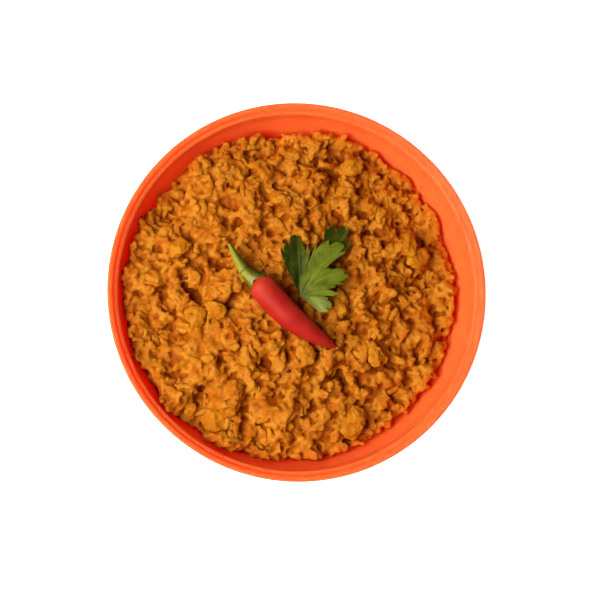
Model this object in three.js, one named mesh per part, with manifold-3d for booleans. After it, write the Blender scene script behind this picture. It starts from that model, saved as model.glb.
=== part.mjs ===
// A plastic bowl of chicken tikka with rice, with a red chilli and a sprig of herb laid on top.
//
// Millimetres, +Z up. The origin is the middle of the ring that the bowl stands on, and Z is its axis.
// Seen from above, +X is to the right: the chilli runs from upper left down to lower right, and the herb
// fans out from the chilli's side towards the upper right.
import * as THREE from "three";
import { mergeVertices } from "three/addons/utils/BufferGeometryUtils.js";
import Module from "manifold-3d";

const wasm = await Module();
wasm.setup();

// ---------------------------------------------------------------- driving dimensions

const CLEARANCE = 0.3; // left between pieces that touch
const SIDES = 56; // facets round the bowl, and round the food where it lies against the bowl

const bowlSize = {
  rimRadius: 85,
  height: 64,
  wall: 2.4,
  lipWidth: 2.7, // the flat top of the rim
  lipEase: 0.5, // rounding of the lip's edges
  ledgeDrop: 1.3, // the small step inside the lip
  ledgeWidth: 0.9,
  beadHeight: 5.5, // the thicker band round the outside of the rim
  beadEase: 1,
  // The inside wall is a curve between the ledge and the flat floor, pulled towards these two corners.
  shoulder: { radius: 76.5, height: 38 },
  heelRadius: 66,
  curveSteps: 7,
  floorRadius: 36,
  floorHeight: 6.5,
  footRadius: 40,
  footWidth: 3.5,
  footDraft: 0.6, // how much wider the foot is where it joins the wall
  footRecess: 3.4, // how far the underside is raised inside the foot
};

const heap = {
  edgeHeight: 46, // where the food meets the bowl
  radius: 77.2, // of the bowl's inside at that height
  rise: 12.5, // the middle over the edge
  fullness: 2.4, // a higher power gives a flatter middle and steeper sides
  lean: new THREE.Vector2(-0.03, -0.01), // the food lies a little higher on the left
  outline: 75.7, // its mean radius, with waves that leave gaps to the wall
  waves: [
    { count: 3, depth: 0.9, turn: 1.1 },
    { count: 8, depth: 1.1, turn: 2.4 },
    { count: 19, depth: 1.2, turn: 0.3 },
  ],
  sideDrop: 9, // how far its side falls between there and the wall
  sideReach: 3, // how far the side is made into the wall, which trims it
  rings: 22, // of triangles in its top
};

// The relief: clumps, and on them lumps of a few grains each.
const clumps = { count: 70, seed: 11, reach: [8, 12.5], rise: [1, 3.6] };
const lumps = { count: 420, seed: 5, reach: [3.2, 5.6], rise: [0.7, 2.1] };
const pressed = { share: 0.35, margin: 3 }; // what is left of the relief under and beside a leaf

// Pieces fused on the heap. The pitch is the most that a piece is tipped, in radians, and sunk is the share
// of its thickness that it sinks in.
const grains = { count: 101, seed: 23, length: [6, 9], width: [2.4, 3], pitch: 0.45, sunk: 0.1 };
const chunks = {
  count: 13,
  seed: 37,
  length: [9.5, 14],
  width: [7, 10],
  depth: [5, 7],
  pitch: 0.3,
  sunk: 0.3,
  uneven: 0.16, // how far its corners are out of place, as a share of its size
};
const scatter = {
  looseness: 0.3, // how far a place is moved off an even spread, in steps of that spread
  clearOfWall: 2.2,
  clearOfChilli: 2,
};
const GOLDEN_ANGLE = Math.PI * (3 - Math.sqrt(5));

// The chilli's middle line from the cut end of its stalk to the tip of the pod, as places seen from above
// with their height over the dome of the food.
const chilliLine = [
  [-31.4, 20.4, 6.4],
  [-27.3, 12.5, 6.8],
  [-23.4, 6.7, 7],
  [-19.4, 2.2, 7.1],
  [-13.4, -4.4, 7.3],
  [-2, -13.8, 7.3],
  [7.5, -20.4, 5.6],
  [17.9, -25.8, 2.6],
];
// Its lengths are shares of that line, or of the pod or stalk.
const chilli = {
  podStart: 0.29,
  podEnd: 0.994,
  podRadius: 5.95,
  shoulderShare: 0.86, // the pod's radius at its shoulder over its greatest
  shoulder: 0.07, // the part of the pod that rounds off towards its cap
  fullTo: 0.32, // the part of the pod before it tapers
  taper: { power: 2.6, roundness: 0.85 },
  calyxOverlap: 0.045, // how far the green cap reaches over the pod
  calyxLength: 0.34, // the part of the stalk that flares into the cap
  calyxRadius: 5.3,
  calyxFlare: 1.3,
  neckRadius: 2.8,
  stalkEndRadius: 0.8,
  podSteps: 16,
  stalkSteps: 11,
  around: 14,
};

const degrees = THREE.MathUtils.degToRad;
const herb = {
  thickness: 0.6,
  clearance: 0.35, // to the rice under it
  taper: { depth: 0.24, power: 1.3 }, // how much shorter a lobe is beside its tip
  toothDepth: 0.1,
  stepsPerTooth: 2,
  rings: 4,
  ripple: { depth: 0.4, along: 0.42, around: 9, fullFrom: 12 },
};
// A leaf fans out from its foot. Its lobes follow each other anticlockwise: each has the direction of its
// tip, its reach and its teeth, and ends at a notch. The leaf is creased along one line, rises straight on
// the left of it and in an arch on the right, and droops by a share of the way from its foot.
const bigLeaf = {
  foot: [0.8, -2.7],
  start: { angle: degrees(-43), reach: 6 },
  lobes: [
    { tip: degrees(-20), reach: 15, teeth: 3, to: degrees(-3), notch: 10.5 },
    { tip: degrees(7), reach: 18, teeth: 2, to: degrees(15), notch: 15.8 },
    { tip: degrees(31), reach: 25.4, teeth: 4, to: degrees(42), notch: 16.6 },
    { tip: degrees(48), reach: 31.4, teeth: 5, to: degrees(75), notch: 13 },
    { tip: degrees(93), reach: 28.6, teeth: 5, to: degrees(119), notch: 6 },
  ],
  crease: degrees(76),
  leftSlope: 0.3,
  rightRise: 2.2,
  rightSpan: 28,
  droop: 0,
};
const smallLeaf = {
  foot: [12.4, 14],
  start: { angle: degrees(20), reach: 6 },
  lobes: [
    { tip: degrees(36), reach: 15.4, teeth: 2, to: degrees(43), notch: 12 },
    { tip: degrees(54), reach: 18.6, teeth: 4, to: degrees(98), notch: 6 },
  ],
  crease: degrees(60),
  leftSlope: 0.05,
  rightRise: 0.5,
  rightSpan: 20,
  droop: 0.03,
};

// ---------------------------------------------------------------- finishes

const finishes = {
  plastic: new THREE.MeshStandardMaterial({ color: 0xf4682a, roughness: 0.42, metalness: 0 }),
  rice: new THREE.MeshStandardMaterial({ color: 0xc8781c, roughness: 0.5, metalness: 0 }),
  chilli: new THREE.MeshStandardMaterial({ color: 0xd02a18, roughness: 0.25, metalness: 0 }),
  stalk: new THREE.MeshStandardMaterial({ color: 0x7c9a32, roughness: 0.4, metalness: 0 }),
  herb: new THREE.MeshStandardMaterial({ color: 0x4e7a1c, roughness: 0.45, metalness: 0 }),
};

// ---------------------------------------------------------------- geometry and solids

// A closed solid from a geometry: equal vertices are merged, and faces that have no area are dropped.
function solidOf(geometry) {
  const bare = new THREE.BufferGeometry().setAttribute("position", geometry.getAttribute("position"));
  bare.setIndex(geometry.index);
  const merged = mergeVertices(bare, 1e-4);
  const faces = [];
  for (let i = 0; i < merged.index.count; i += 3) {
    const corners = [0, 1, 2].map((k) => merged.index.getX(i + k));
    if (new Set(corners).size === 3) faces.push(...corners);
  }
  const vertProperties = merged.getAttribute("position").array;
  return new wasm.Manifold(new wasm.Mesh({ numProp: 3, vertProperties, triVerts: Uint32Array.from(faces) }));
}

function geometryOf(solid) {
  const { vertProperties, triVerts } = solid.getMesh();
  return new THREE.BufferGeometry()
    .setAttribute("position", new THREE.BufferAttribute(vertProperties, 3))
    .setIndex(new THREE.BufferAttribute(triVerts, 1));
}

function geometryFrom(points, faces) {
  return new THREE.BufferGeometry()
    .setAttribute("position", new THREE.Float32BufferAttribute(points.flat(), 3))
    .setIndex(faces.flat());
}

// The largest of a solid's separate bodies: this drops loose scraps and fills sealed hollows.
function mainBody(solid) {
  return solid.decompose().reduce((best, body) => (body.volume() > best.volume() ? body : best));
}

// A solid of revolution about +Z from [radius, height] points that go up its outside.
function turned(profile) {
  const points = profile.map(([radius, height]) => new THREE.Vector2(radius, height));
  return new THREE.LatheGeometry(points, SIDES).rotateX(Math.PI / 2);
}

// Seeded draws: one from a range, and one between -1 and 1.
const drawFrom = ([low, high]) => low + (high - low) * THREE.MathUtils.seededRandom();
const drawAbout = () => drawFrom([-1, 1]);

// Even places over a disc, as seeds lie in a sunflower, each a little off its place.
function scattered(count, radius, seed, make) {
  THREE.MathUtils.seededRandom(seed);
  const step = radius / Math.sqrt(count);
  return Array.from({ length: count }, (_, i) => {
    const out = step * Math.sqrt(i + 0.5);
    const x = out * Math.cos(i * GOLDEN_ANGLE) + step * scatter.looseness * drawAbout();
    const y = out * Math.sin(i * GOLDEN_ANGLE) + step * scatter.looseness * drawAbout();
    return make(x, y);
  });
}

// ---------------------------------------------------------------- bowl

// The inside of the wall from the ledge down to the floor, as [radius, height].
function insideWall() {
  const { rimRadius, lipWidth, ledgeWidth, ledgeDrop, height, shoulder } = bowlSize;
  const { heelRadius, floorRadius, floorHeight } = bowlSize;
  return new THREE.CubicBezierCurve(
    new THREE.Vector2(rimRadius - lipWidth - ledgeWidth, height - ledgeDrop),
    new THREE.Vector2(shoulder.radius, shoulder.height),
    new THREE.Vector2(heelRadius, floorHeight),
    new THREE.Vector2(floorRadius, floorHeight),
  );
}

// Points of the inside wall moved outwards (or, if negative, inwards) by a distance across the wall.
function wallPoints(offset) {
  const curve = insideWall();
  return Array.from({ length: bowlSize.curveSteps + 1 }, (_, i) => {
    const t = i / bowlSize.curveSteps;
    const point = curve.getPoint(t);
    const along = curve.getTangent(t);
    return [point.x - along.y * offset, point.y + along.x * offset];
  });
}

// The bowl's section, from the middle of its underside up its outside, over the lip and down its inside.
function bowlGeometry() {
  const { rimRadius, height, lipWidth, lipEase, ledgeDrop, beadHeight, beadEase, wall } = bowlSize;
  const { footRadius, footWidth, footDraft, footRecess, floorHeight } = bowlSize;
  const beadFoot = height - beadHeight;
  const footTop = footRadius + footDraft;
  const outside = wallPoints(wall).filter(([radius, z]) => z < beadFoot && radius > footTop + beadEase);
  const lipInside = rimRadius - lipWidth;
  const profile = [
    [0, footRecess],
    [footRadius - footWidth, footRecess],
    [footRadius - footWidth, 0],
    [footRadius, 0],
    [footTop, floorHeight - wall],
    ...outside.reverse(),
    [rimRadius - beadEase / 2, beadFoot],
    [rimRadius, beadFoot + beadEase],
    [rimRadius, height - lipEase],
    [rimRadius - lipEase, height],
    [lipInside + lipEase, height],
    [lipInside, height - lipEase],
    [lipInside, height - ledgeDrop],
    ...wallPoints(0),
    [0, floorHeight],
  ];
  return turned(profile);
}

// The space inside the bowl, less the clearance, going on upwards past the rim.
function cavity() {
  const wall = wallPoints(-CLEARANCE).reverse();
  const floor = wall[0][1];
  const mouth = wall.at(-1)[0];
  const above = bowlSize.height * 2;
  return solidOf(turned([[0, floor], ...wall, [mouth, above], [0, above]]));
}

// ---------------------------------------------------------------- heap of rice

// Round bumps spread over the heap.
function relief({ count, seed, reach, rise }) {
  return scattered(count, heap.radius, seed, (x, y) => {
    const under = underLeaf(bigLeaf, x, y, pressed.margin) || underLeaf(smallLeaf, x, y, pressed.margin);
    return { x, y, reach: drawFrom(reach), rise: drawFrom(rise) * (under ? pressed.share : 1) };
  });
}

const riceClumps = relief(clumps);
const riceLumps = relief(lumps);

function reliefHeight(bumps, x, y) {
  return bumps.reduce((highest, { x: cx, y: cy, reach, rise }) => {
    const away = Math.hypot(x - cx, y - cy) / reach;
    return away < 1 ? Math.max(highest, rise * (1 - away * away)) : highest;
  }, 0);
}

// The smooth dome that the heap's bumps and the garnish are laid on.
function domeHeight(x, y) {
  const share = Math.hypot(x, y) / heap.radius;
  return heap.edgeHeight + heap.rise * (1 - share ** heap.fullness) + heap.lean.x * x + heap.lean.y * y;
}

// The dome with its relief: the deep creases are where bumps meet.
function heapHeight(x, y) {
  return domeHeight(x, y) + reliefHeight(riceClumps, x, y) + reliefHeight(riceLumps, x, y);
}

function outlineRadius(angle) {
  const waves = heap.waves.map(({ count, depth, turn }) => depth * Math.sin(count * angle + turn));
  return waves.reduce((sum, wave) => sum - wave, heap.outline);
}

// A solid under the heap's surface. Ring k has 6k points, so that all the triangles are of a size. The last
// ring lies lower and in the wall, where the bowl's inside trims it.
function heapBody() {
  const { rings, radius, sideDrop, sideReach } = heap;
  const ringStart = (k) => (k === 0 ? 0 : 1 + 3 * k * (k - 1));
  const points = [[0, 0, heapHeight(0, 0)]];
  for (let k = 1; k <= rings; k += 1) {
    for (let i = 0; i < 6 * k; i += 1) {
      const angle = (Math.PI * i) / (3 * k);
      const out = k < rings ? (outlineRadius(angle) * k) / (rings - 1) : radius + sideReach;
      const [x, y] = [out * Math.cos(angle), out * Math.sin(angle)];
      points.push([x, y, k < rings ? heapHeight(x, y) : domeHeight(x, y) - sideDrop]);
    }
  }
  const faces = [];
  for (let k = 1; k <= rings; k += 1) {
    const outer = (i) => ringStart(k) + (i % (6 * k));
    const inner = (i) => ringStart(k - 1) + (k === 1 ? 0 : i % (6 * (k - 1)));
    for (let sector = 0; sector < 6; sector += 1) {
      for (let j = 0; j < k; j += 1) {
        const [o, n] = [sector * k + j, sector * (k - 1) + j];
        faces.push([outer(o), outer(o + 1), inner(n)]);
        if (j < k - 1) faces.push([inner(n), outer(o + 1), inner(n + 1)]);
      }
    }
  }
  const edge = Array.from({ length: 6 * rings }, (_, i) => ringStart(rings) + i);
  const base = points.length;
  edge.forEach((index) => points.push([points[index][0], points[index][1], 0]));
  const hub = points.push([0, 0, 0]) - 1;
  edge.forEach((top, i) => {
    const next = (i + 1) % edge.length;
    faces.push([top, base + i, base + next], [top, base + next, edge[next]]);
    faces.push([hub, base + next, base + i]);
  });
  return solidOf(geometryFrom(points, faces));
}

// Which way the dome faces at a place.
function domeNormal(x, y) {
  const step = 1;
  const slopeX = (domeHeight(x + step, y) - domeHeight(x - step, y)) / (2 * step);
  const slopeY = (domeHeight(x, y + step) - domeHeight(x, y - step)) / (2 * step);
  return new THREE.Vector3(-slopeX, -slopeY, 1).normalize();
}

// Lays a piece on the heap, long axis along its surface in any direction and tipped by up to the pitch.
function laid(geometry, x, y, pitch, above) {
  const flat = new THREE.Quaternion().setFromUnitVectors(new THREE.Vector3(0, 0, 1), domeNormal(x, y));
  const turn = new THREE.Euler(0, pitch * drawAbout(), Math.PI * drawAbout(), "ZYX");
  flat.multiply(new THREE.Quaternion().setFromEuler(turn));
  const place = new THREE.Vector3(x, y, heapHeight(x, y) + above);
  return geometry.applyMatrix4(new THREE.Matrix4().compose(place, flat, new THREE.Vector3(1, 1, 1)));
}

function grainAt(x, y) {
  const length = drawFrom(grains.length);
  const width = drawFrom(grains.width);
  const grain = new THREE.SphereGeometry(0.5, 5, 4).rotateZ(Math.PI / 2).scale(length, width, width);
  return { x, y, reach: length / 2, geometry: laid(grain, x, y, grains.pitch, width * (0.5 - grains.sunk)) };
}

// A piece of chicken: a rough block with each corner pulled a little out of place.
function chunkAt(x, y) {
  const [length, width, depth] = [drawFrom(chunks.length), drawFrom(chunks.width), drawFrom(chunks.depth)];
  const bare = new THREE.IcosahedronGeometry(0.5, 0).deleteAttribute("normal").deleteAttribute("uv");
  const block = mergeVertices(bare);
  const corners = block.getAttribute("position");
  for (let i = 0; i < corners.count; i += 1) {
    const pull = 1 + chunks.uneven * drawAbout();
    corners.setXYZ(i, corners.getX(i) * pull, corners.getY(i) * pull, corners.getZ(i) * pull);
  }
  block.scale(length, width, depth);
  return { x, y, reach: length / 2, geometry: laid(block, x, y, chunks.pitch, depth * (0.5 - chunks.sunk)) };
}

// ---------------------------------------------------------------- chilli

const chilliCurve = new THREE.CatmullRomCurve3(
  chilliLine.map(([x, y, lift]) => new THREE.Vector3(x, y, domeHeight(x, y) + lift)),
);

// A round body along a stretch of the chilli's line. radiusAt takes 0 to 1 along the body.
function alongChilli(from, to, steps, radiusAt) {
  const shares = Array.from({ length: steps + 1 }, (_, i) => i / steps);
  const profile = shares.map((share) => new THREE.Vector2(radiusAt(share), share));
  profile[0].x = 0;
  profile[steps].x = 0;
  const round = new THREE.LatheGeometry(profile, chilli.around);
  const corners = round.getAttribute("position");
  for (let i = 0; i < corners.count; i += 1) {
    const share = THREE.MathUtils.lerp(from, to, corners.getY(i));
    const forward = chilliCurve.getTangentAt(share);
    const right = new THREE.Vector3().crossVectors(forward, new THREE.Vector3(0, 0, 1)).normalize();
    const up = new THREE.Vector3().crossVectors(right, forward);
    const place = chilliCurve.getPointAt(share);
    place.addScaledVector(right, corners.getX(i)).addScaledVector(up, corners.getZ(i));
    corners.setXYZ(i, place.x, place.y, place.z);
  }
  return solidOf(round);
}

// The pod: a blunt shoulder, a full middle and a long taper to a rounded tip.
function podRadiusAt(share) {
  const { podRadius, shoulderShare, shoulder, fullTo, taper } = chilli;
  const up = Math.min(1, share / shoulder);
  const swell = Math.sin((Math.PI / 2) * Math.min(1, share / fullTo));
  const belly = THREE.MathUtils.lerp(shoulderShare, 1, swell);
  const down = Math.max(0, (share - fullTo) / (1 - fullTo));
  return podRadius * Math.sqrt(up * (2 - up)) * belly * (1 - down ** taper.power) ** taper.roundness;
}

// The pod, or what it takes up with a margin all round it.
function pod(margin) {
  const [from, to] = [chilli.podStart, chilli.podEnd];
  const ends = margin / chilliCurve.getLength();
  return alongChilli(from - ends, to + ends, chilli.podSteps, (share) => podRadiusAt(share) + margin);
}

// The stalk swells into the calyx, a green cap that sits on the pod's shoulder.
function stalkRadiusAt(share) {
  const { stalkEndRadius, neckRadius, calyxRadius, calyxLength, calyxFlare } = chilli;
  const neck = THREE.MathUtils.lerp(stalkEndRadius, neckRadius, Math.min(1, share / (1 - calyxLength)));
  const flare = Math.max(0, (share - 1 + calyxLength) / calyxLength);
  return neck + (calyxRadius - neckRadius) * flare ** calyxFlare;
}

function stalkSolid() {
  const whole = alongChilli(0, chilli.podStart + chilli.calyxOverlap, chilli.stalkSteps, stalkRadiusAt);
  return mainBody(whole.subtract(pod(CLEARANCE)));
}

// ---------------------------------------------------------------- herb leaves

// A leaf's edge as [angle, reach] in turn, from its foot.
function leafEdge({ start, lobes }) {
  const edge = [[start.angle, start.reach]];
  let from = start.angle;
  lobes.forEach(({ tip, reach, teeth, to, notch }) => {
    const steps = teeth * herb.stepsPerTooth;
    for (let i = 1; i < steps; i += 1) {
      // The steps are finest beside the notches, which keeps these narrow.
      const angle = THREE.MathUtils.lerp(from, to, (1 - Math.cos((Math.PI * i) / steps)) / 2);
      const aside = angle < tip ? (tip - angle) / (tip - from) : (angle - tip) / (to - tip);
      const fromPoint = Math.abs((((i / steps) * teeth) % 1) - 0.5) * 2;
      const shorter = herb.taper.depth * aside ** herb.taper.power + herb.toothDepth * fromPoint;
      edge.push([angle, reach * (1 - shorter)]);
    }
    edge.push([to, notch]);
    from = to;
  });
  return edge;
}

// Whether a place lies under a leaf, or within a margin of its edge.
function underLeaf(leaf, x, y, margin) {
  const [dx, dy] = [x - leaf.foot[0], y - leaf.foot[1]];
  const away = Math.hypot(dx, dy);
  const angle = Math.atan2(dy, dx);
  const slack = (margin + herb.thickness) / Math.max(margin + herb.thickness, away);
  return leafEdge(leaf).some(([at, reach]) => Math.abs(at - angle) < slack && away < reach + margin);
}

// The height of a leaf's middle, without the lift that brings it clear of the rice.
function leafHeight(leaf, x, y) {
  const [dx, dy] = [x - leaf.foot[0], y - leaf.foot[1]];
  const away = Math.hypot(dx, dy);
  const across = dx * Math.sin(leaf.crease) - dy * Math.cos(leaf.crease);
  const arch = leaf.rightRise * Math.sin((Math.PI * across) / leaf.rightSpan);
  const { depth, along, around, fullFrom } = herb.ripple;
  const wave = Math.sin(away * along + Math.atan2(dy, dx) * around);
  const ripple = depth * wave * Math.min(1, away / fullFrom);
  return domeHeight(x, y) + (across > 0 ? arch : -leaf.leftSlope * across) + ripple - leaf.droop * away;
}

// A thin wavy sheet with both faces divided alike.
function leafGeometry(leaf, lift) {
  const { rings, thickness } = herb;
  const edge = leafEdge(leaf);
  const rays = edge.length - 1;
  const sheet = [leaf.foot];
  edge.forEach(([angle, reach]) => {
    for (let j = 1; j <= rings; j += 1) {
      const out = (reach * j) / rings;
      sheet.push([leaf.foot[0] + out * Math.cos(angle), leaf.foot[1] + out * Math.sin(angle)]);
    }
  });
  const at = (ray, ring) => (ring === 0 ? 0 : 1 + ray * rings + ring - 1);
  const face = [];
  for (let i = 0; i < rays; i += 1) {
    face.push([at(i, 0), at(i, 1), at(i + 1, 1)]);
    for (let j = 1; j < rings; j += 1) {
      face.push([at(i, j), at(i, j + 1), at(i + 1, j + 1)], [at(i, j), at(i + 1, j + 1), at(i + 1, j)]);
    }
  }
  const rim = [
    ...Array.from({ length: rings }, (_, j) => at(0, j)),
    ...edge.map((_, i) => at(i, rings)),
    ...Array.from({ length: rings - 1 }, (_, j) => at(rays, rings - 1 - j)),
  ];
  const level = (above) => sheet.map(([x, y]) => [x, y, leafHeight(leaf, x, y) + lift + above]);
  const below = sheet.length;
  const faces = [...face, ...face.map(([a, b, c]) => [a + below, c + below, b + below])];
  rim.forEach((top, i) => {
    const next = rim[(i + 1) % rim.length];
    faces.push([top, top + below, next + below], [top, next + below, next]);
  });
  return geometryFrom([...level(thickness / 2), ...level(-thickness / 2)], faces);
}

// The lift that sets a leaf's underside just clear of what supportAt gives the height of.
function leafLift(leaf, supportAt) {
  const corners = leafGeometry(leaf, 0).getAttribute("position");
  let deepest = -Infinity;
  for (let i = 0; i < corners.count; i += 1) {
    deepest = Math.max(deepest, supportAt(corners.getX(i), corners.getY(i)) - corners.getZ(i));
  }
  return deepest + herb.clearance;
}

const smallLift = leafLift(smallLeaf, heapHeight);

// The small leaf lies on the rice, and the big one on both.
function underBigLeaf(x, y) {
  const smallTop = leafHeight(smallLeaf, x, y) + smallLift + herb.thickness / 2;
  return Math.max(heapHeight(x, y), underLeaf(smallLeaf, x, y, 1) ? smallTop : 0);
}

// ---------------------------------------------------------------- food put together

const chilliSamples = chilliCurve.getSpacedPoints(40);

// Whether a piece would cross the bowl or lie under the chilli or a leaf, which rest on the bare heap.
function inTheWay({ x, y, reach }) {
  const nearWall = Math.hypot(x, y) + reach > heap.radius - scatter.clearOfWall;
  const chilliReach = chilli.podRadius + scatter.clearOfChilli;
  const nearChilli = chilliSamples.some((place) => Math.hypot(x - place.x, y - place.y) < chilliReach);
  return nearWall || nearChilli || underLeaf(bigLeaf, x, y, reach) || underLeaf(smallLeaf, x, y, reach);
}

function riceSolid() {
  const bits = [
    ...scattered(chunks.count, heap.radius - chunks.length[1] / 2, chunks.seed, chunkAt),
    ...scattered(grains.count, heap.radius, grains.seed, grainAt),
  ].filter((bit) => !inTheWay(bit));
  const heaped = bits.reduce((whole, { geometry }) => whole.add(solidOf(geometry)), heapBody());
  return mainBody(heaped.intersect(cavity()).subtract(pod(CLEARANCE)));
}

function named(name, geometry, material) {
  const mesh = new THREE.Mesh(geometry, material);
  mesh.name = name;
  return mesh;
}

const serving = new THREE.Group();
serving.add(
  named("bowl", bowlGeometry(), finishes.plastic),
  named("rice_heap", geometryOf(riceSolid()), finishes.rice),
  named("chilli_pod", geometryOf(pod(0)), finishes.chilli),
  named("chilli_stalk", geometryOf(stalkSolid()), finishes.stalk),
  named("herb_leaf", leafGeometry(bigLeaf, leafLift(bigLeaf, underBigLeaf)), finishes.herb),
  named("herb_leaflet", leafGeometry(smallLeaf, smallLift), finishes.herb),
);
serving.children.forEach((piece) => piece.geometry.computeVertexNormals());

export default serving;
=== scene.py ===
"""The looks of a plastic bowl of chicken tikka with rice, a red chilli and a sprig of herb on top.

Sizes are in millimetres until a mesh is made. +Z is up, the origin is the middle of the ring that the
bowl stands on, and +X is to the right as seen from above.
"""

import logging
import math
import random
from dataclasses import astuple, dataclass, field
from enum import Enum

import bmesh
import bpy
import numpy as np
from mathutils import Matrix, Vector, noise
from mathutils.bvhtree import BVHTree
from mathutils.kdtree import KDTree


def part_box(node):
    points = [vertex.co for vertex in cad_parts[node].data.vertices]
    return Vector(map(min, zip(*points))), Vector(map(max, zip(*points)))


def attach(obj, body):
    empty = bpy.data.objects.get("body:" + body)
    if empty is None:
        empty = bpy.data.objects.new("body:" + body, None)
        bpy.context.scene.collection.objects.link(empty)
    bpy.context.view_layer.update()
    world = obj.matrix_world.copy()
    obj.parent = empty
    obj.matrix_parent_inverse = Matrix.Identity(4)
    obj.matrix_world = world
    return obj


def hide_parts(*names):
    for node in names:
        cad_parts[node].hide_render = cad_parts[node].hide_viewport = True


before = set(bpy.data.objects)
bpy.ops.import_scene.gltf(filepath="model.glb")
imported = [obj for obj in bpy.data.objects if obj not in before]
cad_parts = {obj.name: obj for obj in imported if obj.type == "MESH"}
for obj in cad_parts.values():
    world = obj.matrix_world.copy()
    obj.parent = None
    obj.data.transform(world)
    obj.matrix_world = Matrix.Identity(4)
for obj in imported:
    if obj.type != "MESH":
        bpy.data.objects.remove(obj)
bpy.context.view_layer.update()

MM = 0.001
TRIANGLE_LIMIT = 196_000
SKY_SAMPLES = 6
CLEAR_SHARE = 0.42
CLEAR_DEPTH = 2.4
NOISE_SEED = 11
GOLDEN_ANGLE = math.pi * (3 - math.sqrt(5))

Colour = tuple[float, float, float]
Mesh = tuple[np.ndarray, np.ndarray]

log = logging.getLogger("tikka")


class Slot(Enum):
    """The record's material slots."""

    PLASTIC = "bowl_plastic"
    RICE = "tikka_rice"
    CHILLI = "chilli_skin"
    STALK = "chilli_green"
    HERB = "herb_green"


class Node(Enum):
    """The CAD nodes that the pieces here stand for."""

    BOWL = "bowl"
    RICE = "rice_heap"
    POD = "chilli_pod"
    STALK = "chilli_stalk"
    LEAF = "herb_leaf"
    LEAFLET = "herb_leaflet"


class Face(Enum):
    """The two faces of a leaf, and the side of its middle that each lies on."""

    UPPER = 1
    LOWER = -1


# ---------------------------------------------------------------- meshes


def link(name: str, data: bpy.types.ID) -> bpy.types.Object:
    """Makes an object of a mesh, a lamp or a camera, and puts it in the scene."""
    made = bpy.data.objects.new(name, data)
    bpy.context.scene.collection.objects.link(made)
    return made


def make_object(name: str, points: np.ndarray, faces: np.ndarray) -> bpy.types.Object:
    """Makes a smoothly shaded mesh object from points in millimetres.

    Args:
        name: the piece's name.
        points: an (n, 3) array of places.
        faces: an (m, 3) array of corners, counter-clockwise seen from outside.

    Returns:
        The new object, linked to the scene.
    """
    mesh = bpy.data.meshes.new(name)
    mesh.from_pydata((np.asarray(points, float) * MM).tolist(), [], np.asarray(faces).tolist())
    mesh.update()
    mesh.shade_smooth()
    return link(name, mesh)


def points_of(mesh: bpy.types.Mesh) -> np.ndarray:
    """A mesh's points as an (n, 3) array in millimetres."""
    flat = np.empty(len(mesh.vertices) * 3)
    mesh.vertices.foreach_get("co", flat)
    return flat.reshape(-1, 3) / MM


def set_points(mesh: bpy.types.Mesh, points: np.ndarray) -> None:
    """Moves a mesh's points to places in millimetres."""
    mesh.vertices.foreach_set("co", (points * MM).ravel())
    mesh.update()


def set_values(mesh: bpy.types.Mesh, name: str, values: np.ndarray) -> None:
    """Stores one number a point under a name that a material can read."""
    layer = mesh.attributes.new(name, "FLOAT", "POINT")
    layer.data.foreach_set("value", np.asarray(values, np.float32))


def triangle_count(mesh: bpy.types.Mesh) -> int:
    """How many triangles a mesh's faces make."""
    return sum(len(face.vertices) - 2 for face in mesh.polygons)


def apply_modifiers(piece: bpy.types.Object) -> None:
    """Replaces a piece's mesh by what its modifiers make of it, and drops them."""
    bpy.context.view_layer.update()
    graph = bpy.context.evaluated_depsgraph_get()
    made = bpy.data.meshes.new_from_object(piece.evaluated_get(graph))
    old = piece.data
    piece.modifiers.clear()
    piece.data = made
    made.name = old.name
    bpy.data.meshes.remove(old)


def merge_by_voxels(piece: bpy.types.Object, voxel: float, rounds: int) -> None:
    """Makes one skin round everything in a piece's mesh, and smooths it.

    Args:
        piece: the object, whose mesh may hold many closed shells that overlap.
        voxel: the size of the grid in millimetres.
        rounds: how many times the skin is smoothed.
    """
    skin = piece.modifiers.new("skin", "REMESH")
    skin.mode = "VOXEL"
    skin.voxel_size = voxel * MM
    skin.use_smooth_shade = True
    soften = piece.modifiers.new("soften", "SMOOTH")
    soften.factor = 0.5
    soften.iterations = rounds
    apply_modifiers(piece)


def thin_out(piece: bpy.types.Object, limit: int) -> None:
    """Collapses the least needed edges until a piece has no more triangles than the limit."""
    count = triangle_count(piece.data)
    if count <= limit:
        return
    fewer = piece.modifiers.new("fewer", "DECIMATE")
    fewer.ratio = limit / count
    apply_modifiers(piece)


def full_turn(count: int) -> np.ndarray:
    """Angles spread evenly round a circle, in radians."""
    return np.arange(count) * 2 * math.pi / count


def ring_about(radius: np.ndarray | float, height: np.ndarray | float, turns: np.ndarray) -> np.ndarray:
    """A ring of points round the upright axis."""
    heights = np.broadcast_to(height, turns.shape)
    return np.column_stack([radius * np.cos(turns), radius * np.sin(turns), heights])


def tube(rings: list[np.ndarray], closed_start: np.ndarray | tuple, closed_end: np.ndarray | tuple) -> Mesh:
    """Joins rings of equal size into a closed skin.

    Args:
        rings: the rings' points, each ring counter-clockwise as seen from the end.
        closed_start: the point that closes the first ring.
        closed_end: the point that closes the last ring.

    Returns:
        The points and the triangles.
    """
    around = len(rings[0])
    points = np.vstack([[closed_start], *rings, [closed_end]])
    first = 1 + np.arange(around)
    after = 1 + (np.arange(around) + 1) % around
    last = len(points) - 1
    end = last - around - 1
    faces = [np.column_stack([np.zeros_like(first), after, first])]
    faces.append(np.column_stack([np.full_like(first, last), first + end, after + end]))
    for k in range(0, (len(rings) - 1) * around, around):
        a, b = first + k, after + k
        faces.append(np.column_stack([a, b + around, a + around]))
        faces.append(np.column_stack([a, b, b + around]))
    return points, np.vstack(faces)


def random_place(draw: random.Random, radius: float) -> tuple[float, float]:
    """Draws a place on a round area."""
    out = radius * math.sqrt(draw.random())
    turn = draw.uniform(0, 2 * math.pi)
    return out * math.cos(turn), out * math.sin(turn)


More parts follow.
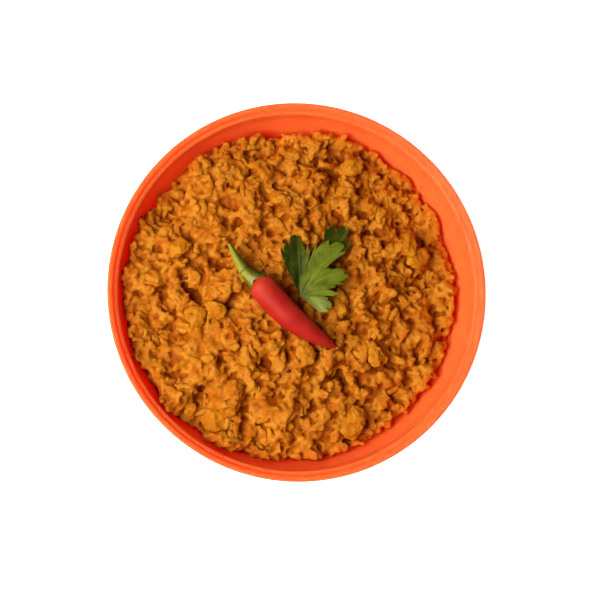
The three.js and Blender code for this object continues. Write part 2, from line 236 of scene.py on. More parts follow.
def noise_over(xs: np.ndarray, ys: np.ndarray, size: float, layer: float) -> np.ndarray:
    """Soft noise over a grid of places.

    Args:
        xs: the places' x.
        ys: their y.
        size: how far apart the rises are, in millimetres.
        layer: the height in the noise at which it is read.

    Returns:
        The noise at each place, from about -1 to 1.
    """
    flat = [noise.noise(Vector((x / size, y / size, layer))) for x, y in zip(xs.ravel(), ys.ravel())]
    return np.array(flat).reshape(xs.shape)


def slope_along(shares: np.ndarray, heights: np.ndarray) -> float:
    """The slope of the line that best fits heights at places along a grain."""
    return float((shares * heights).sum() / (shares * shares).sum())


def unit_grain(around: int, rings: int, blunt: float) -> Mesh:
    """A rounded grain along X, 1 long and 1 wide.

    Args:
        around: its sides.
        rings: the rings between its two ends.
        blunt: the power of its outline, where 2 is an ellipse and more is blunter.

    Returns:
        Its points and its triangles.
    """
    turns = np.linspace(0, math.pi, rings + 2)[1:-1]
    along = -0.5 * np.cos(turns)
    radius = 0.5 * (1 - np.abs(2 * along) ** blunt) ** (1 / blunt)
    angles = full_turn(around)
    ring_points = [
        np.column_stack([np.full(around, x), r * np.cos(angles), r * np.sin(angles)])
        for x, r in zip(along, radius)
    ]
    points = np.vstack([[[-0.5, 0, 0]], *ring_points, [[0.5, 0, 0]]])
    last = len(points) - 1
    faces = []
    for i in range(around):
        j = (i + 1) % around
        faces.append((0, 1 + j, 1 + i))
        faces.append((last, last - around + i, last - around + j))
        for k in range(rings - 1):
            a, b = 1 + k * around + i, 1 + k * around + j
            faces += [(a, b, b + around), (a, b + around, a + around)]
    return points, np.array(faces)


# ---------------------------------------------------------------- material nodes


class Paint:
    """Builds the nodes of one material. Texture sizes are in millimetres."""

    def __init__(self, name: str) -> None:
        """Starts a material that holds a Principled shader alone."""
        self.material = bpy.data.materials.new(name)
        self.material.use_nodes = True
        self.tree = self.material.node_tree
        self.tree.nodes.clear()
        self.shader = self.tree.nodes.new("ShaderNodeBsdfPrincipled")
        output = self.tree.nodes.new("ShaderNodeOutputMaterial")
        self.tree.links.new(self.shader.outputs["BSDF"], output.inputs["Surface"])
        self.place = self.tree.nodes.new("ShaderNodeTexCoord").outputs["Object"]

    def set(self, **values: float | tuple) -> None:
        """Sets the shader's own sockets, named with _ for a space."""
        for name, value in values.items():
            self.shader.inputs[name.replace("_", " ")].default_value = value

    def soften(self, weight: float, radius: Colour, reach: float, shine: float) -> None:
        """Lets light into the surface, and sets its shine.

        Args:
            weight: how much of the light goes in.
            radius: how far each colour of it goes, as shares of the reach.
            reach: that reach in millimetres.
            shine: how strong the reflections are.
        """
        self.set(
            Subsurface_Weight=weight,
            Subsurface_Radius=radius,
            Subsurface_Scale=reach * MM,
            Specular_IOR_Level=shine,
        )

    def feed(self, name: str, source: bpy.types.NodeSocket) -> None:
        """Links a socket to one of the shader's."""
        self.tree.links.new(source, self.shader.inputs[name])

    def put(self, socket: bpy.types.NodeSocket, value: object) -> None:
        """Links or sets an input socket."""
        if isinstance(value, bpy.types.NodeSocket):
            self.tree.links.new(value, socket)
        else:
            socket.default_value = value

    def value(self, name: str) -> bpy.types.NodeSocket:
        """A number stored in the mesh."""
        node = self.tree.nodes.new("ShaderNodeAttribute")
        node.attribute_name = name
        return node.outputs["Fac"]

    def clouds(self, size: float, detail: float = 2, rough: float = 0.5) -> bpy.types.NodeSocket:
        """Soft random patches.

        Args:
            size: how far apart they are, in millimetres.
            detail: how many finer layers they have.
            rough: how strong these layers are.

        Returns:
            A socket from 0 to 1.
        """
        node = self.tree.nodes.new("ShaderNodeTexNoise")
        self.tree.links.new(self.place, node.inputs["Vector"])
        node.inputs["Scale"].default_value = 1 / (size * MM)
        node.inputs["Detail"].default_value = detail
        node.inputs["Roughness"].default_value = rough
        return node.outputs["Fac"]

    def cells(self, size: float) -> bpy.types.NodeSocket:
        """The distance from points scattered about a size in millimetres apart, as a share of that size."""
        node = self.tree.nodes.new("ShaderNodeTexVoronoi")
        self.tree.links.new(self.place, node.inputs["Vector"])
        node.inputs["Scale"].default_value = 1 / (size * MM)
        node.inputs["Randomness"].default_value = 1
        return node.outputs["Distance"]

    def span(
        self, source: bpy.types.NodeSocket, low: float, high: float, to_low: float = 0, to_high: float = 1
    ) -> bpy.types.NodeSocket:
        """Maps a range smoothly to another.

        Args:
            source: the number that is mapped.
            low: where the range starts.
            high: where it ends.
            to_low: what its start becomes.
            to_high: what its end becomes.

        Returns:
            The mapped number.
        """
        node = self.tree.nodes.new("ShaderNodeMapRange")
        node.interpolation_type = "SMOOTHSTEP"
        numbers = (source, low, high, to_low, to_high)
        for name, number in zip(("Value", "From Min", "From Max", "To Min", "To Max"), numbers):
            self.put(node.inputs[name], number)
        return node.outputs["Result"]

    def open_sky(self, reach: float) -> bpy.types.NodeSocket:
        """How open the surface is over a reach in millimetres, from 0 in a pit to 1 in the open."""
        node = self.tree.nodes.new("ShaderNodeAmbientOcclusion")
        node.samples = SKY_SAMPLES
        node.inputs["Distance"].default_value = reach * MM
        return node.outputs["AO"]

    def sum(self, *terms: bpy.types.NodeSocket | float) -> bpy.types.NodeSocket:
        """Adds numbers up."""
        return self.fold("ADD", *terms)

    def product(self, *terms: bpy.types.NodeSocket | float) -> bpy.types.NodeSocket:
        """Multiplies numbers."""
        return self.fold("MULTIPLY", *terms)

    def fold(self, operation: str, *terms: bpy.types.NodeSocket | float) -> bpy.types.NodeSocket:
        """Joins numbers in turn by one operation of the Math node."""
        total = terms[0]
        for term in terms[1:]:
            node = self.tree.nodes.new("ShaderNodeMath")
            node.operation = operation
            self.put(node.inputs[0], total)
            self.put(node.inputs[1], term)
            total = node.outputs[0]
        return total

    def blend(self, share: object, first: object, second: object) -> bpy.types.NodeSocket:
        """Mixes two colours, all of the second where the share is 1."""
        node = self.tree.nodes.new("ShaderNodeMix")
        node.data_type = "RGBA"
        sockets = (node.inputs["Factor"], node.inputs[6], node.inputs[7])
        for socket, value in zip(sockets, (share, first, second)):
            self.put(socket, (*value, 1) if isinstance(value, tuple) else value)
        return node.outputs[2]

    def relief(self, *layers: tuple[bpy.types.NodeSocket, float]) -> None:
        """Roughens the surface: each layer is a height from 0 to 1 and what that is in millimetres."""
        normal = None
        for height, depth in layers:
            node = self.tree.nodes.new("ShaderNodeBump")
            node.inputs["Distance"].default_value = depth * MM
            self.tree.links.new(height, node.inputs["Height"])
            if normal:
                self.tree.links.new(normal, node.inputs["Normal"])
            normal = node.outputs["Normal"]
        self.feed("Normal", normal)


@dataclass(frozen=True)
class PlasticFinish:
    """Satin orange plastic that lets a little red light through."""

    body: Colour = (0.97, 0.16, 0.031)
    worn: Colour = (0.98, 0.185, 0.038)
    glow: float = 1.0
    glow_radius: Colour = (1.0, 0.09, 0.2)
    glow_reach: float = 8.0

    def material(self) -> bpy.types.Material:
        """The plastic's material."""
        paint = Paint("orange_plastic")
        patches = paint.clouds(14, 4, 0.6)
        rubbed = paint.span(paint.clouds(5, 3), 0.5, 0.8)
        paint.feed("Base Color", paint.blend(paint.product(rubbed, 0.6), self.body, self.worn))
        paint.feed("Roughness", paint.span(patches, 0.3, 0.7, 0.44, 0.54))
        paint.soften(self.glow, self.glow_radius, self.glow_reach, shine=0.18)
        paint.set(IOR=1.49)
        paint.relief((paint.clouds(0.5, 2), 0.012), (patches, 0.05))
        return paint.material


@dataclass(frozen=True)
class RiceFinish:
    """Rice in an ochre sauce: painted shade browns its hollows and pits, and near the wall a redder colour
    stands partly for oil and partly for painted red light bounced from the wall.
    """

    golden: Colour = (0.55, 0.205, 0.013)
    ochre: Colour = (0.43, 0.112, 0.003)
    oil_and_wall_bounce_red: Colour = (0.64, 0.125, 0.008)
    # brown and deep: the colours of painted shade in the rice's hollows and pits
    brown: Colour = (0.27, 0.052, 0.0006)
    deep: Colour = (0.13, 0.014, 0.0)
    speck: Colour = (0.2, 0.03, 0.002)

    def material(self, name: str) -> bpy.types.Material:
        """The material of a piece that stores tone, hollow and walled.

        Args:
            name: the material's name.

        Returns:
            The material.
        """
        paint = Paint(name)
        tone, hollow, walled = (paint.value(name) for name in ("tone", "hollow", "walled"))
        patches = paint.clouds(9, 3, 0.6)
        mottle = paint.clouds(1.3, 4, 0.7)
        warmth = paint.sum(patches, paint.product(tone, 0.7), paint.product(mottle, 0.5))
        colour = paint.blend(paint.span(warmth, 0.75, 1.45), self.ochre, self.golden)
        # painted red light bounced from the orange wall, partly oil, on the rice near the wall
        colour = paint.blend(paint.product(walled, 0.75), colour, self.oil_and_wall_bounce_red)
        # painted shade: browner where the rice lies below its neighbours, mixed with random sauce mottle
        sauce = paint.span(paint.sum(hollow, paint.product(mottle, 0.6)), 0.3, 1.4)
        colour = paint.blend(sauce, colour, self.brown)
        # painted shade: near black-brown in the deepest hollows and pits
        colour = paint.blend(paint.span(hollow, 0.8, 2.0), colour, self.deep)
        # painted shade: browner where ambient occlusion finds the surface closed in
        colour = paint.blend(paint.span(paint.open_sky(4), 0.3, 0.9, 0.8, 0), colour, self.brown)
        flecks = paint.product(
            paint.span(paint.cells(3.6), 0.16, 0.24, 1, 0), paint.span(paint.clouds(7, 1), 0.56, 0.6)
        )
        colour = paint.blend(paint.product(flecks, 0.35), colour, self.speck)
        paint.feed("Base Color", colour)
        paint.feed("Roughness", paint.span(mottle, 0.35, 0.7, 0.42, 0.66))
        paint.soften(0.12, (1.0, 0.8, 0.6), 0.8, shine=0.07)
        paint.relief((paint.clouds(1.0, 3, 0.6), 0.28), (paint.clouds(2.6, 2), 0.55))
        return paint.material


@dataclass(frozen=True)
class ChickenFinish:
    """Chicken coated in the sauce, with paler fibres where it is torn."""

    meat: Colour = (0.53, 0.2, 0.008)
    coat: Colour = (0.44, 0.13, 0.003)
    scorched: Colour = (0.27, 0.055, 0.002)

    def material(self) -> bpy.types.Material:
        """The chicken's material."""
        paint = Paint("coated_chicken")
        fibres = paint.clouds(1.1, 4, 0.65)
        patches = paint.clouds(4.5, 3)
        colour = paint.blend(paint.span(patches, 0.35, 0.65), self.coat, self.meat)
        colour = paint.blend(paint.span(fibres, 0.6, 0.8, 0, 0.6), colour, self.meat)
        burnt = paint.span(paint.clouds(3.2, 4, 0.6), 0.62, 0.72, 0, 0.7)
        colour = paint.blend(burnt, colour, self.scorched)
        paint.feed("Base Color", colour)
        paint.feed("Roughness", paint.span(fibres, 0.3, 0.7, 0.4, 0.6))
        paint.soften(0.12, (1.0, 0.8, 0.6), 0.8, shine=0.07)
        paint.relief((fibres, 0.3), (patches, 0.3))
        return paint.material


@dataclass(frozen=True)
class SpiceFinish:
    """Flakes of dried chilli and browned spice."""

    red: Colour = (0.2, 0.024, 0.003)
    brown: Colour = (0.17, 0.033, 0.003)

    def material(self) -> bpy.types.Material:
        """The flakes' material."""
        paint = Paint("spice_flakes")
        patches = paint.clouds(6, 2)
        paint.feed("Base Color", paint.blend(paint.span(patches, 0.4, 0.6), self.red, self.brown))
        paint.feed("Roughness", paint.span(paint.clouds(0.7), 0.3, 0.7, 0.5, 0.7))
        paint.set(Specular_IOR_Level=0.1)
        paint.relief((paint.clouds(0.5, 2), 0.1))
        return paint.material


@dataclass(frozen=True)
class PodFinish:
    """Satin red chilli skin: more orange near its shoulder, and a pale dried point at its tip."""

    red: Colour = (0.37, 0.008, 0.005)
    bright: Colour = (0.44, 0.017, 0.008)
    orange: Colour = (0.54, 0.045, 0.014)
    dried: Colour = (0.8, 0.35, 0.28)

    def material(self) -> bpy.types.Material:
        """The skin's material, for a mesh that stores how far along each point is."""
        paint = Paint("chilli_skin")
        along = paint.value("along")
        patches = paint.clouds(7, 3)
        colour = paint.blend(paint.span(patches, 0.35, 0.7), self.red, self.bright)
        colour = paint.blend(paint.span(along, 0.0, 0.3, 0.5, 0), colour, self.orange)
        colour = paint.blend(paint.span(along, 0.975, 0.992), colour, self.dried)
        paint.feed("Base Color", colour)
        paint.feed("Roughness", paint.span(paint.clouds(2.5, 3), 0.3, 0.7, 0.5, 0.62))
        paint.soften(0.15, (1.0, 0.1, 0.05), 1.5, shine=0.2)
        paint.relief((paint.clouds(0.8, 2), 0.02), (patches, 0.25))
        return paint.material


@dataclass(frozen=True)
class StalkFinish:
    """The chilli's stalk and cap: fresh green with paler ribs, a dark ring at the joint, painted light and
    shade on its two sides, and a painted highlight on the cap.
    """

    dark: Colour = (0.02, 0.035, 0.001)
    green: Colour = (0.065, 0.09, 0.002)
    painted_lit_lime: Colour = (0.29, 0.27, 0.014)
    # pale: the colour of the painted highlight on the cap
    pale: Colour = (0.25, 0.22, 0.085)

    def material(self) -> bpy.types.Material:
        """The stalk's material, for a mesh that stores rib, joint, along and the side that gets painted
        light.
        """
        paint = Paint("chilli_stalk")
        ribs, joint, along = paint.value("rib"), paint.value("joint"), paint.value("along")
        mottle = paint.clouds(1.5, 3)
        # painted light: the side of the stalk turned to the light is lime, the other green
        painted_lit_side = paint.sum(paint.value("painted_lit_side"), paint.product(mottle, 0.3))
        colour = paint.blend(paint.span(painted_lit_side, 0.8, 1.2), self.green, self.painted_lit_lime)
        cap = paint.span(along, 0.7, 0.76)
        # painted highlight: a small pale patch on the cap next to the pod
        painted_highlight_patch = paint.product(paint.span(along, 0.8, 0.88), paint.span(ribs, 0.0, 0.25, 1, 0))
        lobe = paint.product(cap, paint.span(ribs, 0.3, 0.8, 0, 0.8))
        colour = paint.blend(lobe, colour, self.green)
        colour = paint.blend(paint.product(painted_highlight_patch, 0.9), colour, self.pale)
        colour = paint.blend(paint.product(joint, 0.8), colour, self.dark)
        # painted shade: the side turned away from the light darkens towards near black-green
        colour = paint.blend(paint.span(paint.value("painted_lit_side"), 0.3, 0.65, 0.9, 0), colour, self.dark)
        paint.feed("Base Color", colour)
        paint.feed("Roughness", paint.span(mottle, 0.3, 0.7, 0.4, 0.55))
        paint.soften(0.1, (0.6, 1.0, 0.2), 1.0, shine=0.2)
        paint.relief((paint.clouds(0.5, 2), 0.06))
        return paint.material


@dataclass(frozen=True)
class HerbFinish:
    """A flat herb leaf: paler veins, painted light and shade on the two sides of its crease, a painted
    highlight that pales its lowest lobe, and a faint waxy sheen.
    """

    dark: Colour = (0.024, 0.034, 0.0008)
    green: Colour = (0.125, 0.165, 0.007)
    pale: Colour = (0.22, 0.26, 0.05)

    def material(self, name: str, shade: float) -> bpy.types.Material:
        """A leaf's material, for a mesh that stores vein, bright for its painted light and shade, and low
        for its painted highlight.

        Args:
            name: the material's name.
            shade: how much painted shade darkens it, from 0 to 1.

        Returns:
            The material.
        """
        paint = Paint(name)
        vein, bright = paint.value("vein"), paint.value("bright")
        patches = paint.clouds(4.5, 3)
        # painted light and shade: the side of the crease turned to the light is greener, the other darker
        lit = paint.sum(paint.product(patches, 1.6), paint.product(bright, 0.75))
        colour = paint.blend(paint.span(lit, 0.75, 1.75), self.dark, self.green)
        colour = paint.blend(paint.product(vein, 0.35), colour, self.pale)
        # painted highlight: the lowest lobe is paler as if it caught the light
        colour = paint.blend(paint.product(paint.value("low"), 0.6), colour, self.pale)
        # painted shade over the whole leaf, for a leaf that lies in shadow
        colour = paint.blend(shade, colour, self.dark)
        paint.feed("Base Color", colour)
        paint.feed("Roughness", paint.span(paint.clouds(2.2, 3), 0.35, 0.65, 0.32, 0.5))
        paint.soften(0.15, (0.5, 1.0, 0.15), 0.8, shine=0.11)
        paint.relief((paint.clouds(0.45, 2), 0.03), (paint.clouds(1.6, 3), 0.12))
        return paint.material


@dataclass(frozen=True)
class FloorFinish:
    """A plain white table that glows like a light table, so that shadows on it are faint."""

    white: Colour = (0.86, 0.86, 0.86)
    whiter: Colour = (0.88, 0.88, 0.88)
    lit_from_below: float = 0.9

    def material(self) -> bpy.types.Material:
        """The table's material."""
        paint = Paint("white_table")
        tint = paint.blend(paint.clouds(400, 2), self.white, self.whiter)
        paint.feed("Base Color", tint)
        paint.feed("Roughness", paint.span(paint.clouds(30), 0.3, 0.7, 0.7, 0.8))
        paint.set(Emission_Color=(1, 1, 1, 1), Emission_Strength=self.lit_from_below)
        paint.set(Specular_IOR_Level=0.1)
        paint.relief((paint.clouds(1.2, 2), 0.01))
        return paint.material


# ---------------------------------------------------------------- pieces


@dataclass
class Piece:
    """What every piece of the serving has: a name, a slot and the CAD node it stands for."""

    name: str
    slot: Slot
    stands_for: Node

    def settle(self, made: bpy.types.Object, finish: bpy.types.Material) -> bpy.types.Object:
        """Gives a piece its finish and ties it to the frame.

        Args:
            made: the finished mesh object.
            finish: its material.

        Returns:
            The same object.
        """
        made.data.materials.clear()
        made.data.materials.append(finish)
        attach(made, "root")
        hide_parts(self.stands_for.value)
        log.info("%s: %d triangles", made.name, triangle_count(made.data))
        return made


# ---------------------------------------------------------------- bowl


@dataclass
class Bowl(Piece):
    """The bowl: a turned shell with a crowned lip, a small ledge inside it, a bead outside and a foot."""

    name: str = "bowl_shell"
    slot: Slot = Slot.PLASTIC
    stands_for: Node = Node.BOWL
    rim_radius: float = 85
    height: float = 64
    wall: float = 2.4
    lip_width: float = 2.3
    lip_fall: float = 0.8
    slope_width: float = 0.9
    ledge_drop: float = 2.7
    ledge_width: float = 1.5
    ledge_fall: float = 0.85
    crown: float = 1.6
    groove: float = 0.15
    bead_height: float = 5.5
    shoulder: tuple[float, float] = (76.5, 38)
    heel_radius: float = 66
    floor_radius: float = 36
    floor_height: float = 6.5
    foot_radius: float = 40
    foot_width: float = 3.5
    foot_draft: float = 0.6
    foot_recess: float = 3.4
    sides: int = 288
    curve_steps: int = 72

    def inside(self, offset: float = 0) -> np.ndarray:
        """The inside of the wall from its ledge down to the floor.

        Args:
            offset: how far the line is moved out across the wall.

        Returns:
            Its [radius, height] points.
        """
        ends = [
            (self.rim_radius - self.lip_width - self.slope_width, self.height - self.ledge_drop),
            self.shoulder,
            (self.heel_radius, self.floor_height),
            (self.floor_radius, self.floor_height),
        ]
        a, b, c, d = (np.array(end, float) for end in ends)
        t = np.linspace(0, 1, self.curve_steps + 1)[:, None]
        line = a * (1 - t) ** 3 + 3 * b * t * (1 - t) ** 2 + 3 * c * t * t * (1 - t) + d * t**3
        run = 3 * ((b - a) * (1 - t) ** 2 + 2 * (c - b) * t * (1 - t) + (d - c) * t * t)
        run /= np.linalg.norm(run, axis=1)[:, None]
        return line + offset * np.column_stack([-run[:, 1], run[:, 0]])

    def radius_at(self, height: np.ndarray) -> np.ndarray:
        """The inside radius at a height."""
        line = self.inside()[::-1]
        return np.interp(height, line[:, 1], line[:, 0])

    def profile(self) -> np.ndarray:
        """The bowl's section, from the middle of its underside over the lip to the middle of its floor."""
        bead_foot = self.height - self.bead_height
        foot_top = self.foot_radius + self.foot_draft
        outside = self.inside(self.wall)
        keep = (outside[:, 1] < bead_foot - 0.5) & (outside[:, 0] > foot_top + 1.2)
        outside = outside[keep][::-1]
        lip_inside = self.rim_radius - self.lip_width
        foot_inside = self.foot_radius - self.foot_width
        ledge = self.height - self.ledge_drop
        ledge_outside = lip_inside - self.slope_width
        ledge_inside = ledge_outside - self.ledge_width
        corners = [
            ((foot_inside, self.foot_recess), 0.9),
            ((foot_inside, 0), 0.5),
            ((self.foot_radius, 0), 0.5),
            ((foot_top, self.floor_height - self.wall), 1.0),
            *[(tuple(point), 0) for point in outside],
            ((outside[-1][0] + 0.12, bead_foot), 0.35),
            ((self.rim_radius, bead_foot + 0.1), 0.9),
            ((self.rim_radius, self.height), self.crown),
            ((lip_inside, self.height - self.lip_fall), 0.6),
            ((ledge_outside, ledge - self.groove), 0.25),
            ((ledge_outside - 0.25, ledge), 0.15),
            ((ledge_inside, ledge - self.ledge_fall), 0.5),
            ((ledge_inside - 0.1, ledge - 3.5), 1.5),
            *[(tuple(point), 0) for point in self.inside() if point[0] < ledge_inside - 0.3],
        ]
        middle = [(0, self.foot_recess), (0, self.floor_height)]
        return np.array([middle[0], *self.rounded(corners), middle[1]])

    @staticmethod
    def rounded(corners: list[tuple[tuple[float, float], float]], steps: int = 6) -> list[np.ndarray]:
        """Rounds a line's corners.

        Args:
            corners: each point and how far from it its rounding starts.
            steps: the pieces of each rounding.

        Returns:
            The points of the rounded line.
        """
        line = []
        for i, (corner, ease) in enumerate(corners):
            here = np.array(corner, float)
            if not ease or i in (0, len(corners) - 1):
                line.append(here)
                continue
            before = np.array(corners[i - 1][0]) - here
            after = np.array(corners[i + 1][0]) - here
            start = here + before * min(0.5, ease / np.linalg.norm(before))
            end = here + after * min(0.5, ease / np.linalg.norm(after))
            for t in np.linspace(0, 1, steps + 1):
                line.append(start * (1 - t) ** 2 + 2 * here * t * (1 - t) + end * t * t)
        return line

    def build(self) -> bpy.types.Object:
        """Turns the section round the axis.

        Returns:
            The bowl's piece.
        """
        line, turns = self.profile(), full_turn(self.sides)
        rings = [ring_about(radius, height, turns) for radius, height in line[1:-1]]
        made = make_object(self.name, *tube(rings, (0, 0, line[0][1]), (0, 0, line[-1][1])))
        return self.settle(made, PlasticFinish().material())


# ---------------------------------------------------------------- heap of rice


class Draws:
    """Seeded numbers from 0 to 1, drawn as for the model, so that pieces fall in the same places."""

    def __init__(self, seed: int) -> None:
        """Starts a row of draws."""
        self.state = seed & 0xFFFFFFFF
        self.next()

    def next(self) -> float:
        """The next number."""
        self.state = (self.state + 0x6D2B79F5) & 0xFFFFFFFF
        t = self.state
        t = ((t ^ (t >> 15)) * (t | 1)) & 0xFFFFFFFF
        t ^= (t + (((t ^ (t >> 7)) * (t | 61)) & 0xFFFFFFFF)) & 0xFFFFFFFF
        return ((t ^ (t >> 14)) & 0xFFFFFFFF) / 4294967296

    def within(self, low: float, high: float) -> float:
        """The next number, brought into a range."""
        return low + (high - low) * self.next()

    def about(self) -> float:
        """The next number, brought between -1 and 1."""
        return self.within(-1, 1)


@dataclass
class Field:
    """Heights over a square grid, seen from above."""

    values: np.ndarray
    half: float
    step: float

    def cell(self, x: np.ndarray, y: np.ndarray) -> tuple[np.ndarray, np.ndarray]:
        """The nearest grid cell to each place."""
        last = len(self.values) - 1
        col = np.clip(np.rint((np.asarray(x) + self.half) / self.step), 0, last).astype(int)
        row = np.clip(np.rint((np.asarray(y) + self.half) / self.step), 0, last).astype(int)
        return row, col

    def at(self, x: np.ndarray, y: np.ndarray) -> np.ndarray:
        """The heights at places, between the cells."""
        last = len(self.values) - 1.001
        col = np.clip((np.asarray(x, float) + self.half) / self.step, 0, last)
        row = np.clip((np.asarray(y, float) + self.half) / self.step, 0, last)
        i, j = row.astype(int), col.astype(int)
        u, v = row - i, col - j
        near = self.values[i, j] * (1 - v) + self.values[i, j + 1] * v
        far = self.values[i + 1, j] * (1 - v) + self.values[i + 1, j + 1] * v
        return near * (1 - u) + far * u

    def softened(self, reach: float) -> "Field":
        """The field blurred over a reach in millimetres."""
        spread = reach / self.step
        count = max(1, int(3 * spread))
        kernel = np.exp(-0.5 * (np.arange(-count, count + 1) / spread) ** 2)
        kernel /= kernel.sum()
        values = self.values
        for axis in (0, 1):
            pad = [(count, count) if a == axis else (0, 0) for a in (0, 1)]
            wide = np.pad(values, pad, mode="edge")
            size = values.shape[axis]
            parts = (np.take(wide, range(k, k + size), axis=axis) * w for k, w in enumerate(kernel))
            values = sum(parts)
        return Field(values, self.half, self.step)

    def places(self) -> tuple[np.ndarray, np.ndarray]:
        """The x and y of every cell."""
        line = np.arange(len(self.values)) * self.step - self.half
        return np.meshgrid(line, line)


@dataclass
class HeapForm:
    """The heap's form: the top of its CAD node, the smooth dome under it, and what limits the rice."""

    edge_height: float = 46
    radius: float = 77.2
    rise: float = 12.5
    fullness: float = 2.4
    lean: tuple[float, float] = (-0.03, -0.01)
    bowl: Bowl = field(default_factory=Bowl)
    banks: tuple[tuple[float, float, float], ...] = ((195, 60, 5), (175, 9, 3.5), (221, 8, 4), (48, 42, 4))
    bank_from: float = 60
    notch: tuple[float, float] = (4.2, 2.6)
    notch_width: tuple[float, float] = (11, 4.5)
    edge_fall: float = 9
    step: float = 0.5
    half: float = 80
    top: Field = field(init=False)
    ceiling: Field = field(init=False)

    def __post_init__(self) -> None:
        """Reads the node's heights, and the undersides of the leaves over it."""
        count = int(2 * self.half / self.step) + 1
        blank = Field(np.zeros((count, count)), self.half, self.step)
        xs, ys = blank.places()
        down = self.cast(Node.RICE, xs, ys, from_above=True)
        top = np.where(down > self.edge_height - 3, down, self.dome(xs, ys))
        near_edge = np.hypot(xs, ys) > self.radius - 7
        top = np.where(near_edge, np.maximum(top, self.dome(xs, ys) + 0.8), top) + self.bank(xs, ys)
        self.top = Field(top - self.edge_drop(xs, ys, top), self.half, self.step)
        ceiling = np.full_like(down, 1000.0)
        for leaf in (Node.LEAF, Node.LEAFLET):
            under = self.cast(leaf, xs, ys, from_above=False)
            ceiling = np.where(under > 0, np.minimum(ceiling, under), ceiling)
        self.ceiling = Field(ceiling, self.half, self.step)

    @staticmethod
    def cast(node: Node, xs: np.ndarray, ys: np.ndarray, from_above: bool) -> np.ndarray:
        """The heights where upright lines first meet a CAD node.

        Args:
            node: the node.
            xs: the lines' x.
            ys: their y.
            from_above: whether they come from above or from below.

        Returns:
            The heights, 0 where a line misses.
        """
        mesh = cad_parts[node.value].data
        tree = BVHTree.FromPolygons([v.co for v in mesh.vertices], [p.vertices for p in mesh.polygons])
        start, way = (0.1, Vector((0, 0, -1))) if from_above else (0.0, Vector((0, 0, 1)))
        low, high = (np.array(corner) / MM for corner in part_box(node.value))
        heights = np.zeros(xs.shape)
        near = (xs > low[0]) & (xs < high[0]) & (ys > low[1]) & (ys < high[1])
        for row, col in zip(*np.nonzero(near)):
            hit = tree.ray_cast(Vector((xs[row, col] * MM, ys[row, col] * MM, start)), way)[0]
            if hit is not None:
                heights[row, col] = hit.z / MM
        return heights

    def dome(self, x: np.ndarray, y: np.ndarray) -> np.ndarray:
        """The height of the smooth dome that everything on the heap is laid on."""
        share = np.hypot(x, y) / self.radius
        lean = self.lean[0] * np.asarray(x) + self.lean[1] * np.asarray(y)
        return self.edge_height + self.rise * (1 - share**self.fullness) + lean

    def edge_drop(self, xs: np.ndarray, ys: np.ndarray, top: np.ndarray) -> np.ndarray:
        """How much lower the heap is in the notches of its ragged edge.

        Args:
            xs: the places' x.
            ys: their y.
            top: the heights there without notches.

        Returns:
            The drop at each place.
        """
        out, turn = np.hypot(xs, ys), np.arctan2(ys, xs)
        wall = self.bowl.radius_at(top)
        drop = np.zeros(xs.shape)
        for row, col in zip(*np.nonzero(out > self.radius - 9)):
            x, y = self.radius * math.cos(turn[row, col]), self.radius * math.sin(turn[row, col])
            reach = 0.0
            for depth, width in zip(self.notch, self.notch_width):
                reach += depth * max(0.0, 1.6 * noise.noise(Vector((x / width, y / width, depth))) + 0.1)
            past = (out[row, col] - wall[row, col] + reach - 0.4) / 1.6
            drop[row, col] = self.edge_fall * min(1.0, max(0.0, past))
        return drop

    def bank(self, x: np.ndarray, y: np.ndarray) -> np.ndarray:
        """How much higher the rice is pushed up the wall in some places than in others."""
        turn = np.degrees(np.arctan2(y, x))
        edge = np.clip((np.hypot(x, y) - self.bank_from) / (self.radius - self.bank_from), 0, 1.1)
        rise = 0
        for middle, spread, most in self.banks:
            aside = (turn - middle + 180) % 360 - 180
            rise = rise + most * np.exp(-((aside / spread) ** 2))
        return rise * edge**2

    def dome_turn(self, x: float, y: float) -> Matrix:
        """The turn that brings +Z to the way the dome faces at a place."""
        slope_x = float(self.dome(x + 1, y) - self.dome(x - 1, y)) / 2
        slope_y = float(self.dome(x, y + 1) - self.dome(x, y - 1)) / 2
        normal = Vector((-slope_x, -slope_y, 1)).normalized()
        return Vector((0, 0, 1)).rotation_difference(normal).to_matrix()


@dataclass
class Grain:
    """One grain: its middle, its turn about Z, its slope along itself, its size, bend and tone."""

    x: float
    y: float
    z: float
    turn: float
    slope: float
    length: float
    width: float
    bend: float
    tone: float


